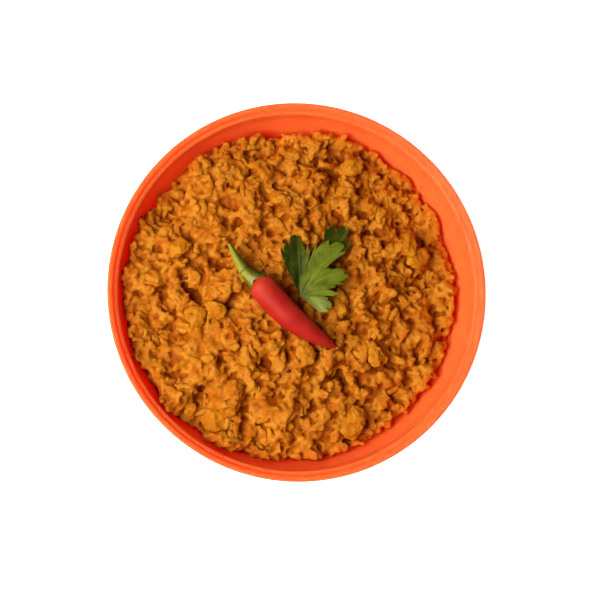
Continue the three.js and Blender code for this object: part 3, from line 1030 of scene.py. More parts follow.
@dataclass
class Pile:
    """Grains dropped one by one on the heap's core until they reach its form.

    Each grain lies roughly along what is already there, sinks into it a little, and is left out where it
    would stand above the form. The form is cut up by the cracks between the clumps of rice.
    """

    form: HeapForm
    bowl: Bowl
    seed: int = 41
    tries: int = 8500
    crumbs: int = 7000
    core_depth: float = 4.2
    core_blur: float = 1.6
    form_blur: float = 0.6
    relief_blur: float = 4.5
    slack: tuple[float, float] = (-0.6, 0.5)
    length: tuple[float, float] = (4.6, 7.4)
    broken: float = 0.5
    broken_length: tuple[float, float] = (3.0, 4.4)
    width: tuple[float, float] = (2.6, 3.6)
    crumb: tuple[float, float] = (1.3, 2.4)
    tilt: float = 0.33
    steepest: float = 1.1
    wall_gap: float = 0.35
    leaf_gap: float = 0.5
    pits: tuple[tuple[float, float, float], ...] = (
        (-26.5, 31, 2.6),
        (-16.7, 23.8, 2.6),
        (-31, 47.5, 2),
        (18, 54.5, 2.4),
        (30.5, 47.5, 2.8),
        (21, -9.5, 3.2),
        (60.5, 18.5, 2.6),
        (-43.5, -49, 2.8),
        (1.5, -5.5, 2.8),
    )
    pit_depth: float = 5.5
    hummock: tuple[tuple[float, float], ...] = ((6.5, 1.2), (3.4, 1.0))
    hummock_gain: float = 1.8
    grains: list[Grain] = field(default_factory=list)
    ground: Field = field(init=False)
    limit: Field = field(init=False)
    crack_depth: Field = field(init=False)
    mash_blur: float = 1.2
    mash_below: float = 1.0
    mash_varies: float = 0.9
    mash_size: float = 13

    def __post_init__(self) -> None:
        """Sets the core that the first grains fall on, and the height that none may pass."""
        self.draw = random.Random(self.seed)
        form = self.form.top.softened(self.form_blur)
        xs, ys = form.places()
        cracks = np.maximum(self.cracks(xs, ys), self.pitted(xs, ys))
        relief = form.values - self.form.top.softened(self.relief_blur).values
        core = self.form.top.softened(self.core_blur).values - self.core_depth - cracks
        ceiling = self.form.ceiling.values - self.leaf_gap
        limit = np.minimum(form.values + relief + self.hummocks(xs, ys) - cracks, ceiling)
        self.ground = Field(core, form.half, form.step)
        self.limit = Field(limit, form.half, form.step)
        self.crack_depth = Field(cracks, form.half, form.step)

    def hummocks(self, xs: np.ndarray, ys: np.ndarray) -> np.ndarray:
        """How much the top rises and falls from one few grains to the next."""
        rises = np.zeros(xs.shape)
        for size, height in self.hummock:
            rises += height * np.clip(noise_over(xs, ys, size, size) * self.hummock_gain, -1, 1)
        return rises

    @staticmethod
    def cracks(xs: np.ndarray, ys: np.ndarray) -> np.ndarray:
        """How much lower the heap is at each place for the cracks between its clumps."""
        depths = np.zeros(xs.shape)
        for size, width, depth, shift in ((12.5, 3.3, 5.6, 3.1), (7.4, 2.2, 3.8, 8.7)):
            flat = np.zeros(xs.size)
            for i, (x, y) in enumerate(zip(xs.ravel(), ys.ravel())):
                place = Vector((x / size, 0.85 * y / size, shift))
                bent = place + 0.3 * noise.noise_vector(place * 1.7)
                near, after = noise.voronoi(bent)[0][:2]
                gap = (after - near) * size / width
                if gap < 2.2:
                    open_here = noise.noise(place * 0.8 + Vector((0, 0, 20))) * 2.6 + 0.42 + 0.012 * x
                    flat[i] = depth * math.exp(-gap * gap) * min(1.0, max(0.0, open_here))
            depths = np.maximum(depths, flat.reshape(xs.shape))
        return depths

    def pitted(self, xs: np.ndarray, ys: np.ndarray) -> np.ndarray:
        """How much lower the heap is at each place for its deepest pits."""
        depths = np.zeros(xs.shape)
        for x, y, reach in self.pits:
            away = np.hypot(xs - x, ys - y) * (1 + 0.25 * np.sin(3 * np.arctan2(ys - y, xs - x) + x))
            depths = np.maximum(depths, self.pit_depth * np.exp(-((away / reach) ** 4)))
        return depths

    def mash(self) -> Field:
        """The top of the sauce and mashed rice between the grains, higher in some places than in others."""
        xs, ys = self.ground.places()
        varied = self.mash_varies * noise_over(xs, ys, self.mash_size, 5)
        below = self.mash_below + varied + 0.2 * xs / self.form.radius
        level = self.ground.softened(self.mash_blur).values - np.maximum(below, 0.25)
        return Field(level - 0.2 * self.crack_depth.values, self.ground.half, self.ground.step)

    def keep_clear(self, x: float, y: float, reach: float, depth: float) -> None:
        """Lowers the limit over a round place, for a piece that lies there."""
        xs, ys = self.limit.places()
        inside = np.hypot(xs - x, ys - y) < reach
        self.limit.values[inside] -= depth

    def fill(self) -> None:
        """Drops all the grains, and then the crumbs that broke off them."""
        for number in range(self.tries + self.crumbs):
            x, y = random_place(self.draw, self.form.radius + 1.5)
            self.drop(x, y, whole=number < self.tries)

    def size(self, whole: bool) -> tuple[float, float]:
        """Draws the length and width of a grain, or of a crumb."""
        draw = self.draw
        if not whole:
            width = draw.uniform(*self.crumb)
            return width * draw.uniform(1.0, 1.6), width
        span = self.length if draw.random() > self.broken else self.broken_length
        return draw.uniform(*span), draw.uniform(*self.width)

    def drop(self, x: float, y: float, whole: bool) -> None:
        """Lays one grain at a place, unless it would stand too high or meet the bowl.

        Args:
            x: the place's x.
            y: its y.
            whole: whether it is a grain, not a crumb.
        """
        draw = self.draw
        length, width = self.size(whole)
        turn, tilt = draw.uniform(0, math.pi), draw.gauss(0, self.tilt)
        sunk, bend, tone = draw.uniform(0.15, 0.5), draw.gauss(0, 0.09), draw.random()
        slack = draw.uniform(*self.slack)
        reach = (length - width) / 2
        shares = np.linspace(-1, 1, 5) * max(reach, 0.2)
        px, py = x + shares * math.cos(turn), y + shares * math.sin(turn)
        cells = self.ground.cell(px, py)
        under = self.ground.values[cells]
        slope = min(self.steepest, max(-self.steepest, 0.7 * slope_along(shares, under) + tilt))
        middle = float(under.mean()) + width * (0.5 - sunk)
        tops = middle + shares * slope + width / 2
        if float((tops - self.limit.values[cells]).max()) > slack:
            return
        beyond = np.hypot(px, py) + width / 2 - self.bowl.radius_at(middle + shares * slope) + self.wall_gap
        if (beyond > 0).any():
            return
        self.grains.append(Grain(x, y, middle, turn, slope, length, width, bend, tone))
        self.cover(self.grains[-1], reach)

    def cover(self, grain: Grain, reach: float) -> None:
        """Raises the ground by a grain that has been laid."""
        ground = self.ground
        span = reach + grain.width
        row, col = ground.cell(grain.x, grain.y)
        count = int(span / ground.step) + 1
        rows = slice(max(0, int(row) - count), int(row) + count + 1)
        cols = slice(max(0, int(col) - count), int(col) + count + 1)
        ys = np.arange(rows.start, min(rows.stop, len(ground.values))) * ground.step - ground.half - grain.y
        xs = np.arange(cols.start, min(cols.stop, len(ground.values))) * ground.step - ground.half - grain.x
        dx, dy = np.meshgrid(xs, ys)
        along = dx * math.cos(grain.turn) + dy * math.sin(grain.turn)
        inner = np.clip(along, -reach, reach)
        away = (along - inner) ** 2 + (-dx * math.sin(grain.turn) + dy * math.cos(grain.turn)) ** 2
        rest = (grain.width / 2) ** 2 - away
        height = grain.z + inner * grain.slope + np.sqrt(np.maximum(rest, 0))
        patch = ground.values[rows, cols]
        np.copyto(patch, np.maximum(patch, height), where=rest > 0)


def grain_shells(grains: list[Grain], around: int, rings: int, coat: float = 0) -> Mesh:
    """Makes the meshes of many grains at once.

    Args:
        grains: the grains.
        around: the sides of each.
        rings: the rings of each.
        coat: how much thicker they are all round.

    Returns:
        All their points and all their triangles.
    """
    points, faces = unit_grain(around, rings, 3.0)
    numbers = np.array([astuple(grain) for grain in grains])
    x, y, z, turn, slope, length, width, bend, _ = (column[:, None] for column in numbers.T)
    length, width = length + 2 * coat, width + 2 * coat
    along = points[None, :, 0] * length
    curve = bend * (along**2 / length - length / 12)
    taper = 1 + 0.25 * bend * points[None, :, 0] * 8
    aside = points[None, :, 1] * width * taper + curve
    up = points[None, :, 2] * width * 0.92 * taper
    tip = np.arctan(slope)
    level = along * np.cos(tip) - up * np.sin(tip)
    height = z + along * np.sin(tip) + up * np.cos(tip)
    placed_x = x + level * np.cos(turn) - aside * np.sin(turn)
    placed_y = y + level * np.sin(turn) + aside * np.cos(turn)
    placed = np.stack([placed_x, placed_y, height], axis=-1)
    steps = np.arange(len(grains))[:, None, None] * len(points)
    return placed.reshape(-1, 3), (faces[None] + steps).reshape(-1, 3)


@dataclass
class RiceMass(Piece):
    """The body of the heap: a core that fills the bowl, and grains merged with it under the sauce."""

    name: str = "rice_mass"
    slot: Slot = Slot.RICE
    stands_for: Node = Node.RICE
    voxel: float = 0.48
    smoothing: int = 7
    coat: float = 0.1
    uneven: float = 0.38
    crumb_size: float = 2.8
    crumb_depth: float = 0.45
    seed: int = 7
    jitter: float = 0.36
    core_rings: int = 110
    core_sides: int = 420
    wall_rings: int = 12
    gap: float = 0.35
    chilli_gap: float = 0.2

    def core(self, pile: Pile) -> Mesh:
        """The core as a closed turned body whose top is the top of the sauce and mashed rice.

        Args:
            pile: the pile that is built on it.

        Returns:
            Its points and its triangles.
        """
        turns = full_turn(self.core_sides)
        mash, near_wall = pile.mash(), pile.form.radius - 1.5
        rim = mash.at(near_wall * np.cos(turns), near_wall * np.sin(turns))
        edge = pile.bowl.radius_at(rim) - self.gap - 0.3
        rings = []
        for k in range(1, self.core_rings + 1):
            radius = edge * k / self.core_rings
            rings.append((radius, mash.at(radius * np.cos(turns), radius * np.sin(turns))))
        rim = np.minimum(rings[-1][1], rim)
        rings[-1] = (edge, rim)
        wall = pile.bowl.inside(-self.gap - 0.2)[::-1]
        floor = float(wall[0][1])
        for share in np.linspace(0.15, 1, self.wall_rings):
            height = rim + (floor - rim) * share
            rings.append((np.interp(height, wall[:, 1], wall[:, 0]), height))
        placed = [ring_about(radius, height, turns) for radius, height in rings]
        points, faces = tube(placed, (0, 0, float(mash.at(0, 0))), (0, 0, floor))
        return points, faces[:, [0, 2, 1]]

    def build(self, pile: Pile, chilli: "Chilli") -> bpy.types.Object:
        """Merges the core and the grains, and stores the tone and the hollows for the finish.

        Args:
            pile: the laid grains.
            chilli: the chilli, which the rice makes room for.

        Returns:
            The mass's piece.
        """
        core_points, core_faces = self.core(pile)
        grain_points, grain_faces = grain_shells(pile.grains, 8, 5, self.coat)
        grain_points += np.random.default_rng(self.seed).normal(0, self.jitter, grain_points.shape)
        made = make_object(
            self.name,
            np.vstack([core_points, grain_points]),
            np.vstack([core_faces, grain_faces + len(core_points)]),
        )
        merge_by_voxels(made, self.voxel, self.smoothing)
        self.pull_in(made.data)
        thin_out(made, TRIANGLE_LIMIT)
        self.make_room(made.data, pile, chilli)
        made.data.shade_smooth()
        self.store(made.data, pile)
        return self.settle(made, RiceFinish().material("tikka_rice"))

    def pull_in(self, mesh: bpy.types.Mesh) -> None:
        """Takes off the coat that closed the thin gaps, a little more in some places than in others."""
        points = points_of(mesh)
        normals = np.empty(len(points) * 3)
        mesh.vertices.foreach_get("normal", normals)
        rough = np.array([noise.noise(Vector(place)) for place in points * 0.45])
        crumbs = np.array([noise.voronoi(Vector(place))[0][0] for place in points / self.crumb_size])
        depth = self.coat + self.uneven * rough + self.crumb_depth * (crumbs - 0.35)
        set_points(mesh, points - normals.reshape(-1, 3) * depth[:, None])

    def make_room(self, mesh: bpy.types.Mesh, pile: Pile, chilli: "Chilli") -> None:
        """Keeps the skin inside the bowl, under the leaves and clear of the chilli."""
        points = points_of(mesh)
        points[:, 2] = np.minimum(points[:, 2], pile.form.ceiling.at(points[:, 0], points[:, 1]) - 0.25)
        points = chilli.pushed_off(points, self.chilli_gap)
        radius = np.hypot(points[:, 0], points[:, 1])
        most = pile.bowl.radius_at(points[:, 2]) - self.gap
        points[:, :2] *= np.minimum(1, most / np.maximum(radius, 1e-6))[:, None]
        points[:, 2] = np.maximum(points[:, 2], pile.bowl.floor_height + self.gap)
        set_points(mesh, points)

    @staticmethod
    def store(mesh: bpy.types.Mesh, pile: Pile) -> None:
        """Stores at each point the tone of the nearest grain, and how deep it lies among its neighbours."""
        points = points_of(mesh)
        tree = KDTree(3 * len(pile.grains))
        for i, grain in enumerate(pile.grains):
            for k, share in enumerate((-0.33, 0, 0.33)):
                along = share * grain.length
                x, y = grain.x + along * math.cos(grain.turn), grain.y + along * math.sin(grain.turn)
                tree.insert((x, y, grain.z + along * grain.slope), 3 * i + k)
        tree.balance()
        tones = np.array([pile.grains[tree.find(point)[1] // 3].tone for point in points])
        store_rice(mesh, points, tones, pile)


def store_rice(mesh: bpy.types.Mesh, points: np.ndarray, tones: np.ndarray, pile: Pile) -> None:
    """Stores what the rice's finish reads.

    Args:
        mesh: the mesh.
        points: its points.
        tones: each point's tone.
        pile: the grains round them.
    """
    set_values(mesh, "tone", tones)
    # hollow drives the painted shade in the rice's hollows, and walled the painted red wall light near the
    # wall
    set_values(mesh, "hollow", hollow_of(points, pile))
    set_values(mesh, "walled", walled_of(points, pile))


def hollow_of(points: np.ndarray, pile: Pile) -> np.ndarray:
    """How deep points lie below the rice round them.

    Args:
        points: the places.
        pile: the grains round them.

    Returns:
        About 0 level with the neighbours, 1 about two millimetres below them, and under 0 above them.
    """
    near, wide = pile.ground.softened(1.3), pile.ground.softened(3.5)
    below_near = near.at(points[:, 0], points[:, 1]) - points[:, 2]
    below_wide = wide.at(points[:, 0], points[:, 1]) - points[:, 2]
    return np.clip(0.45 * below_near + 0.28 * below_wide, -1, 2)


def walled_of(points: np.ndarray, pile: Pile) -> np.ndarray:
    """How near points are to the bowl's wall, from 0 at 8 mm from it to 1 at the wall."""
    away = pile.bowl.radius_at(points[:, 2]) - np.hypot(points[:, 0], points[:, 1])
    return np.clip(1 - away / 8, 0, 1)


@dataclass
class LooseGrains(Piece):
    """Whole grains that lie on the mass and stand out of the sauce."""

    name: str = "loose_grains"
    slot: Slot = Slot.RICE
    stands_for: Node = Node.RICE
    seed: int = 67
    count: int = 200
    length: tuple[float, float] = (5.6, 8.6)
    width: tuple[float, float] = (2.7, 3.3)
    sunk: tuple[float, float] = (0.62, 0.86)
    spread: float = 0.965
    stands_out: float = 0.75
    steepest: float = 0.8

    def build(self, pile: Pile) -> bpy.types.Object:
        """Lays the grains on the finished pile.

        Args:
            pile: the pile, whose ground they are laid on.

        Returns:
            The piece.
        """
        draw = random.Random(self.seed)
        low, high = self.sunk
        laid = []
        while len(laid) < self.count:
            x, y = random_place(draw, pile.form.radius * self.spread)
            length, width = draw.uniform(*self.length), draw.uniform(*self.width)
            facing, sunk = draw.uniform(0, math.pi), draw.uniform(low, high)
            bend, tone = draw.gauss(0, 0.1), draw.random()
            shares = np.linspace(-0.4, 0.4, 7) * length
            px, py = x + shares * math.cos(facing), y + shares * math.sin(facing)
            cells = pile.ground.cell(px, py)
            under = pile.ground.values[cells]
            slope = slope_along(shares, under)
            middle = float(under.mean()) + width * (0.5 - sunk)
            tops = middle + shares * slope + width / 2
            roomy = (tops < pile.limit.values[cells] + self.stands_out).all()
            walled = (np.hypot(px, py) + width / 2 > pile.bowl.radius_at(tops) - 0.5).any()
            if roomy and not walled and abs(slope) < self.steepest:
                laid.append(Grain(x, y, middle, facing, slope, length, width, bend, 0.35 + 0.65 * tone))
        points, faces = grain_shells(laid, 12, 13)
        points += 0.6 * np.array([noise.noise_vector(Vector(place)) for place in points * 0.6])
        made = make_object(self.name, points, faces)
        each = len(points) // len(laid)
        store_rice(made.data, points, np.repeat([grain.tone for grain in laid], each), pile)
        return self.settle(made, RiceFinish().material("tikka_rice_loose"))


@dataclass
class Chicken(Piece):
    """Pieces of chicken: big ones as in the model, four nearer the wall, and torn shreds between."""

    name: str = "chicken_pieces"
    slot: Slot = Slot.RICE
    stands_for: Node = Node.RICE
    count: int = 13
    seed: int = 37
    length: tuple[float, float] = (9.5, 14)
    width: tuple[float, float] = (7, 10)
    depth: tuple[float, float] = (5, 7)
    pitch: float = 0.3
    uneven: float = 0.16
    looseness: float = 0.3
    outer: tuple[tuple[float, float, float, float], ...] = (
        (-37.0, -58.2, 15, 12),
        (26.1, -61.2, 12, 11),
        (-45.8, -12.3, 12, 10),
        (55.5, 17.1, 12, 10),
    )
    outer_depth: float = 7.0
    outer_sunk: float = 0.34
    inner_sunk: float = 0.6
    shreds: int = 30
    shred_seed: int = 91
    shred_spread: float = 0.93
    corners: int = 12
    facet_reach: float = 0.9
    facet_edge: float = 13

    def places(
        self, form: HeapForm, taken: "Chilli"
    ) -> list[tuple[float, float, tuple, Matrix, list[float]]]:
        """Where the bigger pieces lie.

        Args:
            form: the heap.
            taken: the chilli, under which there are none.

        Returns:
            For each its x, y, size, turn and the pull on each corner.
        """
        draws = Draws(self.seed)
        radius = form.radius - self.length[1] / 2
        step = radius / math.sqrt(self.count)
        found = []
        for i in range(self.count):
            out = step * math.sqrt(i + 0.5)
            x = out * math.cos(i * GOLDEN_ANGLE) + step * self.looseness * draws.about()
            y = out * math.sin(i * GOLDEN_ANGLE) + step * self.looseness * draws.about()
            size = tuple(draws.within(*span) for span in (self.length, self.width, self.depth))
            pulls = [1 + self.uneven * draws.about() for _ in range(self.corners)]
            tip, facing = self.pitch * draws.about(), math.pi * draws.about()
            turn = form.dome_turn(x, y) @ Matrix.Rotation(facing, 3, "Z") @ Matrix.Rotation(tip, 3, "Y")
            clear_of_wall = math.hypot(x, y) + size[0] / 2 <= form.radius - 2.2
            clear_of_leaf = form.ceiling.softened(2.0).at(x, y) > 990
            if clear_of_wall and clear_of_leaf and not taken.covers(x, y, 2):
                found.append((x, y, size, turn, pulls))
        for x, y, length, width in self.outer:
            pulls = [1 + 1.6 * self.uneven * draws.about() for _ in range(self.corners)]
            turn = form.dome_turn(x, y) @ Matrix.Rotation(math.pi * draws.about(), 3, "Z")
            found.append((x, y, (length, width, self.outer_depth), turn, pulls))
        return found

    def block(self, fineness: int, size: tuple, pulls: list[float], seed: float) -> Mesh:
        """One piece: a block of rough facets with rounded edges, roughened along its fibres.

        Args:
            fineness: how often the first ball is divided.
            size: its length, width and depth.
            pulls: how far out each of its facets lies.
            seed: the place in the noise that roughens it.

        Returns:
            Its points about its own middle, and its triangles.
        """
        ball = bmesh.new()
        bmesh.ops.create_icosphere(ball, subdivisions=fineness, radius=1)
        ways = np.array([vert.co for vert in ball.verts])
        faces = np.array([[vert.index for vert in face.verts] for face in ball.faces])
        ball.free()
        count = len(pulls)
        turns = np.arange(count) * GOLDEN_ANGLE + seed
        heights = 1 - (2 * np.arange(count) + 1) / count
        spread = np.sqrt(1 - heights**2)
        facets = np.column_stack([spread * np.cos(turns), spread * np.sin(turns), heights])
        toward = np.maximum(ways @ facets.T, 0) / (np.array(pulls) * self.facet_reach)
        radius = (toward**self.facet_edge).sum(axis=1) ** (-1 / self.facet_edge)
        shaped = ways * radius[:, None] * np.array(size) / 2
        rough = np.array([self.roughness(place, seed) for place in shaped])
        return shaped + ways * rough[:, None] * min(1.1, size[2] / 5) * 0.8, faces

    @staticmethod
    def roughness(place: np.ndarray, seed: float) -> float:
        """How far the surface stands out at a place: long fibres, lumps and small tears."""
        x, y, z = place
        fibres = noise.noise(Vector((x * 0.2, y * 0.9, z * 0.9 + seed)))
        lumps = noise.noise(Vector((x * 0.3 + seed, y * 0.3, z * 0.3)))
        tears = noise.noise(Vector((x * 0.8, y * 0.8 + seed, z * 0.8)))
        crumbs = 0.4 - noise.voronoi(Vector((x / 2.3, y / 2.3, z / 2.3 + seed)))[0][0]
        return 0.45 * fibres + 0.9 * lumps + 0.55 * tears + 0.8 * crumbs

    def build(self, pile: Pile, places: list) -> bpy.types.Object:
        """Shapes all the pieces and lays them in the heap.

        Args:
            pile: the pile that they lie in.
            places: where the bigger ones lie.

        Returns:
            The piece.
        """
        draw = random.Random(self.shred_seed)
        groups = []
        for i, (x, y, size, turn, pulls) in enumerate(places):
            points, faces = self.block(4, size, pulls, 3.7 * i)
            sunk = self.inner_sunk if i < len(places) - len(self.outer) else self.outer_sunk
            base = float(pile.form.top.at(x, y)) - size[2] * sunk
            groups.append((points @ np.array(turn).T + (x, y, base), faces))
        while len(groups) < len(places) + self.shreds:
            x, y = random_place(draw, pile.form.radius * self.shred_spread)
            size = (draw.uniform(5, 8.5), draw.uniform(3.4, 5), draw.uniform(2.6, 3.8))
            pulls = [draw.uniform(0.8, 1.2) for _ in range(self.corners)]
            matrix = pile.form.dome_turn(x, y) @ Matrix.Rotation(draw.uniform(0, 6.3), 3, "Z")
            matrix = matrix @ Matrix.Rotation(draw.uniform(-0.35, 0.35), 3, "Y")
            seed = draw.uniform(0, 50)
            base = float(pile.ground.softened(1.0).at(x, y)) - 0.15 * size[2]
            if base + size[2] * 0.6 > float(pile.limit.at(x, y)) + 1.6:
                continue
            points, faces = self.block(3, size, pulls, seed)
            groups.append((points @ np.array(matrix).T + (x, y, base), faces))
        points = np.vstack([group[0] for group in groups])
        starts = np.cumsum([0] + [len(group[0]) for group in groups[:-1]])
        faces = np.vstack([group[1] + start for group, start in zip(groups, starts)])
        points[:, 2] = np.minimum(points[:, 2], pile.form.ceiling.at(points[:, 0], points[:, 1]) - 0.3)
        made = make_object(self.name, points, faces)
        return self.settle(made, ChickenFinish().material())


@dataclass
class SpiceFlakes(Piece):
    """Small flakes of spice caught on the rice."""

    name: str = "spice_flakes"
    slot: Slot = Slot.RICE
    stands_for: Node = Node.RICE
    seed: int = 19
    count: int = 34
    size: tuple[float, float] = (1.6, 2.9)
    sides: int = 9
    spread: float = 0.95
    slope_step: float = 0.7
    steepest: float = 0.9

    def build(self, pile: Pile) -> bpy.types.Object:
        """Strews the flakes.

        Args:
            pile: the rice that they lie on.

        Returns:
            The piece.
        """
        draw = random.Random(self.seed)
        points, faces = [], []
        surface = pile.ground
        while len(points) < self.count * (self.sides + 2):
            x, y = random_place(draw, pile.form.radius * self.spread)
            size, facing = draw.uniform(*self.size), draw.uniform(0, 6.3)
            thick = 0.16 * size + 0.1
            step = self.slope_step
            slope_x = float(surface.at(x + step, y) - surface.at(x - step, y)) / (2 * step)
            slope_y = float(surface.at(x, y + step) - surface.at(x, y - step)) / (2 * step)
            if math.hypot(slope_x, slope_y) > self.steepest or pile.form.ceiling.at(x, y) < 999:
                continue
            base = len(points)
            height = float(surface.at(x, y)) + 0.02
            for k in range(self.sides):
                angle = facing + k * 2 * math.pi / self.sides
                reach = size * draw.uniform(0.35, 0.6)
                dx, dy = reach * math.cos(angle), 0.75 * reach * math.sin(angle)
                points.append((x + dx, y + dy, height + dx * slope_x + dy * slope_y))
            points.append((x, y, height + thick))
            points.append((x, y, height - thick))
            top, bottom = base + self.sides, base + self.sides + 1
            for k in range(self.sides):
                after = (k + 1) % self.sides
                faces += [(base + k, base + after, top), (base + after, base + k, bottom)]
        made = make_object(self.name, np.array(points), np.array(faces))
        return self.settle(made, SpiceFinish().material())


# ---------------------------------------------------------------- chilli


@dataclass
class Chilli:
    """The chilli's middle line and its outlines.

    Shares of the line run from 0 at the stalk's cut end to 1 at the tip.
    """

    form: HeapForm
    line: tuple[tuple[float, float, float], ...] = (
        (-31.4, 20.4, 6.4),
        (-27.3, 12.5, 6.8),
        (-23.6, 7.1, 7),
        (-18.7, 2.9, 6.9),
        (-12.5, -4.1, 6.9),
        (-2.3, -14.1, 7.1),
        (7.2, -20.4, 5.6),
        (17.9, -25.8, 2.6),
    )
    pod_start: float = 0.29
    pod_end: float = 0.994
    pod_radius: float = 6.2
    shoulder_share: float = 0.93
    shoulder: float = 0.07
    full_to: float = 0.15
    taper_power: float = 2.2
    taper_roundness: float = 0.77
    calyx_overlap: float = 0.026
    calyx_length: float = 0.34
    calyx_radius: float = 4.4
    calyx_flare: float = 1.3
    neck_radius: float = 2.8
    stalk_end_radius: float = 0.8
    samples: int = 60

    def __post_init__(self) -> None:
        """Lays the middle line over the dome as a smooth curve."""
        knots = [np.array((x, y, float(self.form.dome(x, y)) + lift)) for x, y, lift in self.line]
        knots = [2 * knots[0] - knots[1], *knots, 2 * knots[-1] - knots[-2]]
        places = []
        for p0, p1, p2, p3 in zip(knots, knots[1:], knots[2:], knots[3:]):
            gaps = [math.sqrt(np.linalg.norm(b - a)) for a, b in ((p0, p1), (p1, p2), (p2, p3))]
            d0, d1, d2 = gaps
            run1 = d1 * ((p1 - p0) / d0 - (p2 - p0) / (d0 + d1) + (p2 - p1) / d1)
            run2 = d1 * ((p2 - p1) / d1 - (p3 - p1) / (d1 + d2) + (p3 - p2) / d2)
            for t in np.arange(self.samples) / self.samples:
                bow = (-3 * p1 + 3 * p2 - 2 * run1 - run2) * t * t
                places.append(p1 + run1 * t + bow + (2 * p1 - 2 * p2 + run1 + run2) * t**3)
        places.append(knots[-2])
        self.track = np.array(places)
        lengths = np.linalg.norm(np.diff(self.track, axis=0), axis=1)
        self.shares = np.concatenate([[0], np.cumsum(lengths)])
        self.shares /= float(self.shares[-1])

    def at(self, share: np.ndarray) -> np.ndarray:
        """Places on the middle line."""
        share = np.asarray(share, float)
        return np.stack([np.interp(share, self.shares, self.track[:, axis]) for axis in range(3)], axis=-1)

    def axes(self, share: np.ndarray) -> tuple[np.ndarray, np.ndarray, np.ndarray]:
        """The ways forward, to the right and up at places on the line."""
        forward = self.at(np.minimum(1, share + 0.006)) - self.at(np.maximum(0, share - 0.006))
        forward /= np.linalg.norm(forward, axis=-1, keepdims=True)
        right = np.cross(forward, (0, 0, 1))
        right /= np.linalg.norm(right, axis=-1, keepdims=True)
        return forward, right, np.cross(right, forward)

    def pod_share(self, share: np.ndarray) -> np.ndarray:
        """How far along the pod shares of the whole line are."""
        return (share - self.pod_start) / (self.pod_end - self.pod_start)

    def pod_radius_at(self, share: np.ndarray) -> np.ndarray:
        """The pod's radius at a share of the pod."""
        up = np.clip(share / self.shoulder, 0, 1)
        swell = np.sin(math.pi / 2 * np.clip(share / self.full_to, 0, 1))
        belly = self.shoulder_share + (1 - self.shoulder_share) * swell
        down = np.clip((share - self.full_to) / (1 - self.full_to), 0, 1)
        ends = np.sqrt(up * (2 - up)) * (1 - down**self.taper_power) ** self.taper_roundness
        return self.pod_radius * ends * belly

    def stalk_radius_at(self, share: np.ndarray) -> np.ndarray:
        """The stalk's radius at a share of the stalk and its cap."""
        neck = np.clip(share / (1 - self.calyx_length), 0, 1)
        flare = np.clip((share - 1 + self.calyx_length) / self.calyx_length, 0, 1)
        slim = self.stalk_end_radius + (self.neck_radius - self.stalk_end_radius) * neck
        return slim + (self.calyx_radius - self.neck_radius) * flare**self.calyx_flare

    def skin_radius(self, share: np.ndarray) -> np.ndarray:
        """The chilli's radius at shares of its whole line, the larger of its pod's and its stalk's."""
        pod = self.pod_radius_at(self.pod_share(share))
        stalk_end = self.pod_start + self.calyx_overlap
        stalk = np.where(share < stalk_end, self.stalk_radius_at(share / stalk_end), 0)
        return np.maximum(np.where((share > self.pod_start) & (share < self.pod_end), pod, 0), stalk)

    def covers(self, x: float, y: float, margin: float) -> bool:
        """Whether a place seen from above is under the chilli, or within a margin of it."""
        away = np.hypot(self.track[:, 0] - x, self.track[:, 1] - y)
        return bool((away < self.pod_radius + margin).any())

    def pushed_off(self, points: np.ndarray, gap: float) -> np.ndarray:
        """Moves points that lie in the chilli out to its skin.

        Args:
            points: the places.
            gap: what is left free round the skin.

        Returns:
            The places, moved where needed.
        """
        shares = np.linspace(0, 1, 120)
        places, radii = self.at(shares), self.skin_radius(shares) + gap
        low, high = places.min(0) - 7, places.max(0) + 7
        near = np.nonzero(((points > low) & (points < high)).all(axis=1))[0]
        found = points[near]
        away = np.linalg.norm(found[:, None] - places[None], axis=2)
        slack = away - radii[None]
        best = slack.argmin(axis=1)
        rows = np.arange(len(near))
        inside = slack[rows, best] < 0
        middle = places[best[inside]]
        way = found[inside] - middle
        way[:, 2] = np.minimum(way[:, 2], 0.2)
        way /= np.maximum(np.linalg.norm(way, axis=1, keepdims=True), 1e-6)
        moved = points.copy()
        moved[near[inside]] = middle + way * radii[best[inside]][:, None]
        return moved


@dataclass
class ChilliPod(Piece):
    """The red pod, with shallow dents along it and a small dried point at its tip."""

    name: str = "chilli_pod_skin"
    slot: Slot = Slot.CHILLI
    stands_for: Node = Node.POD
    steps: int = 150
    around: int = 72
    dent: float = 0.028
    fine_dent: float = 0.012

    def build(self, chilli: Chilli) -> bpy.types.Object:
        """Wraps the skin round the chilli's line.

        Args:
            chilli: the line and the outline.

        Returns:
            The pod's piece.
        """
        shares = (1 - np.cos(np.linspace(0, math.pi, self.steps + 2)[1:-1])) / 2
        along = chilli.pod_start + (chilli.pod_end - chilli.pod_start) * shares
        middle, (_, right, up) = chilli.at(along), chilli.axes(along)
        radius = chilli.pod_radius_at(shares)
        radius = np.maximum(radius, 0.34 * (shares > 0.9))
        turns = full_turn(self.around)
        rings = []
        for share, place, r, aside, above in zip(shares, middle, radius, right, up):
            wave, fine = self.dents(share * 3.2, 0.9, turns), self.dents(share * 9 + 7, 1.9, turns)
            reach = r * (1 - self.dent * (0.6 + wave) - self.fine_dent * fine)
            level, rise = np.outer(reach * np.cos(turns), aside), np.outer(reach * np.sin(turns), above)
            rings.append(place + level + rise)
        ends = chilli.at(np.array([chilli.pod_start, chilli.pod_end]))
        points, faces = tube(rings, ends[0], ends[1])
        made = make_object(self.name, points, faces)
        stored = np.concatenate([[0], np.repeat(shares, self.around), [1]])
        set_values(made.data, "along", stored)
        return self.settle(made, PodFinish().material())

    @staticmethod
    def dents(along: float, spread: float, turns: np.ndarray) -> np.ndarray:
        """Noise round one ring, wider apart where the spread is small."""
        places = [Vector((along, spread * math.cos(turn), spread * math.sin(turn))) for turn in turns]
        return np.array([noise.noise(place) for place in places])


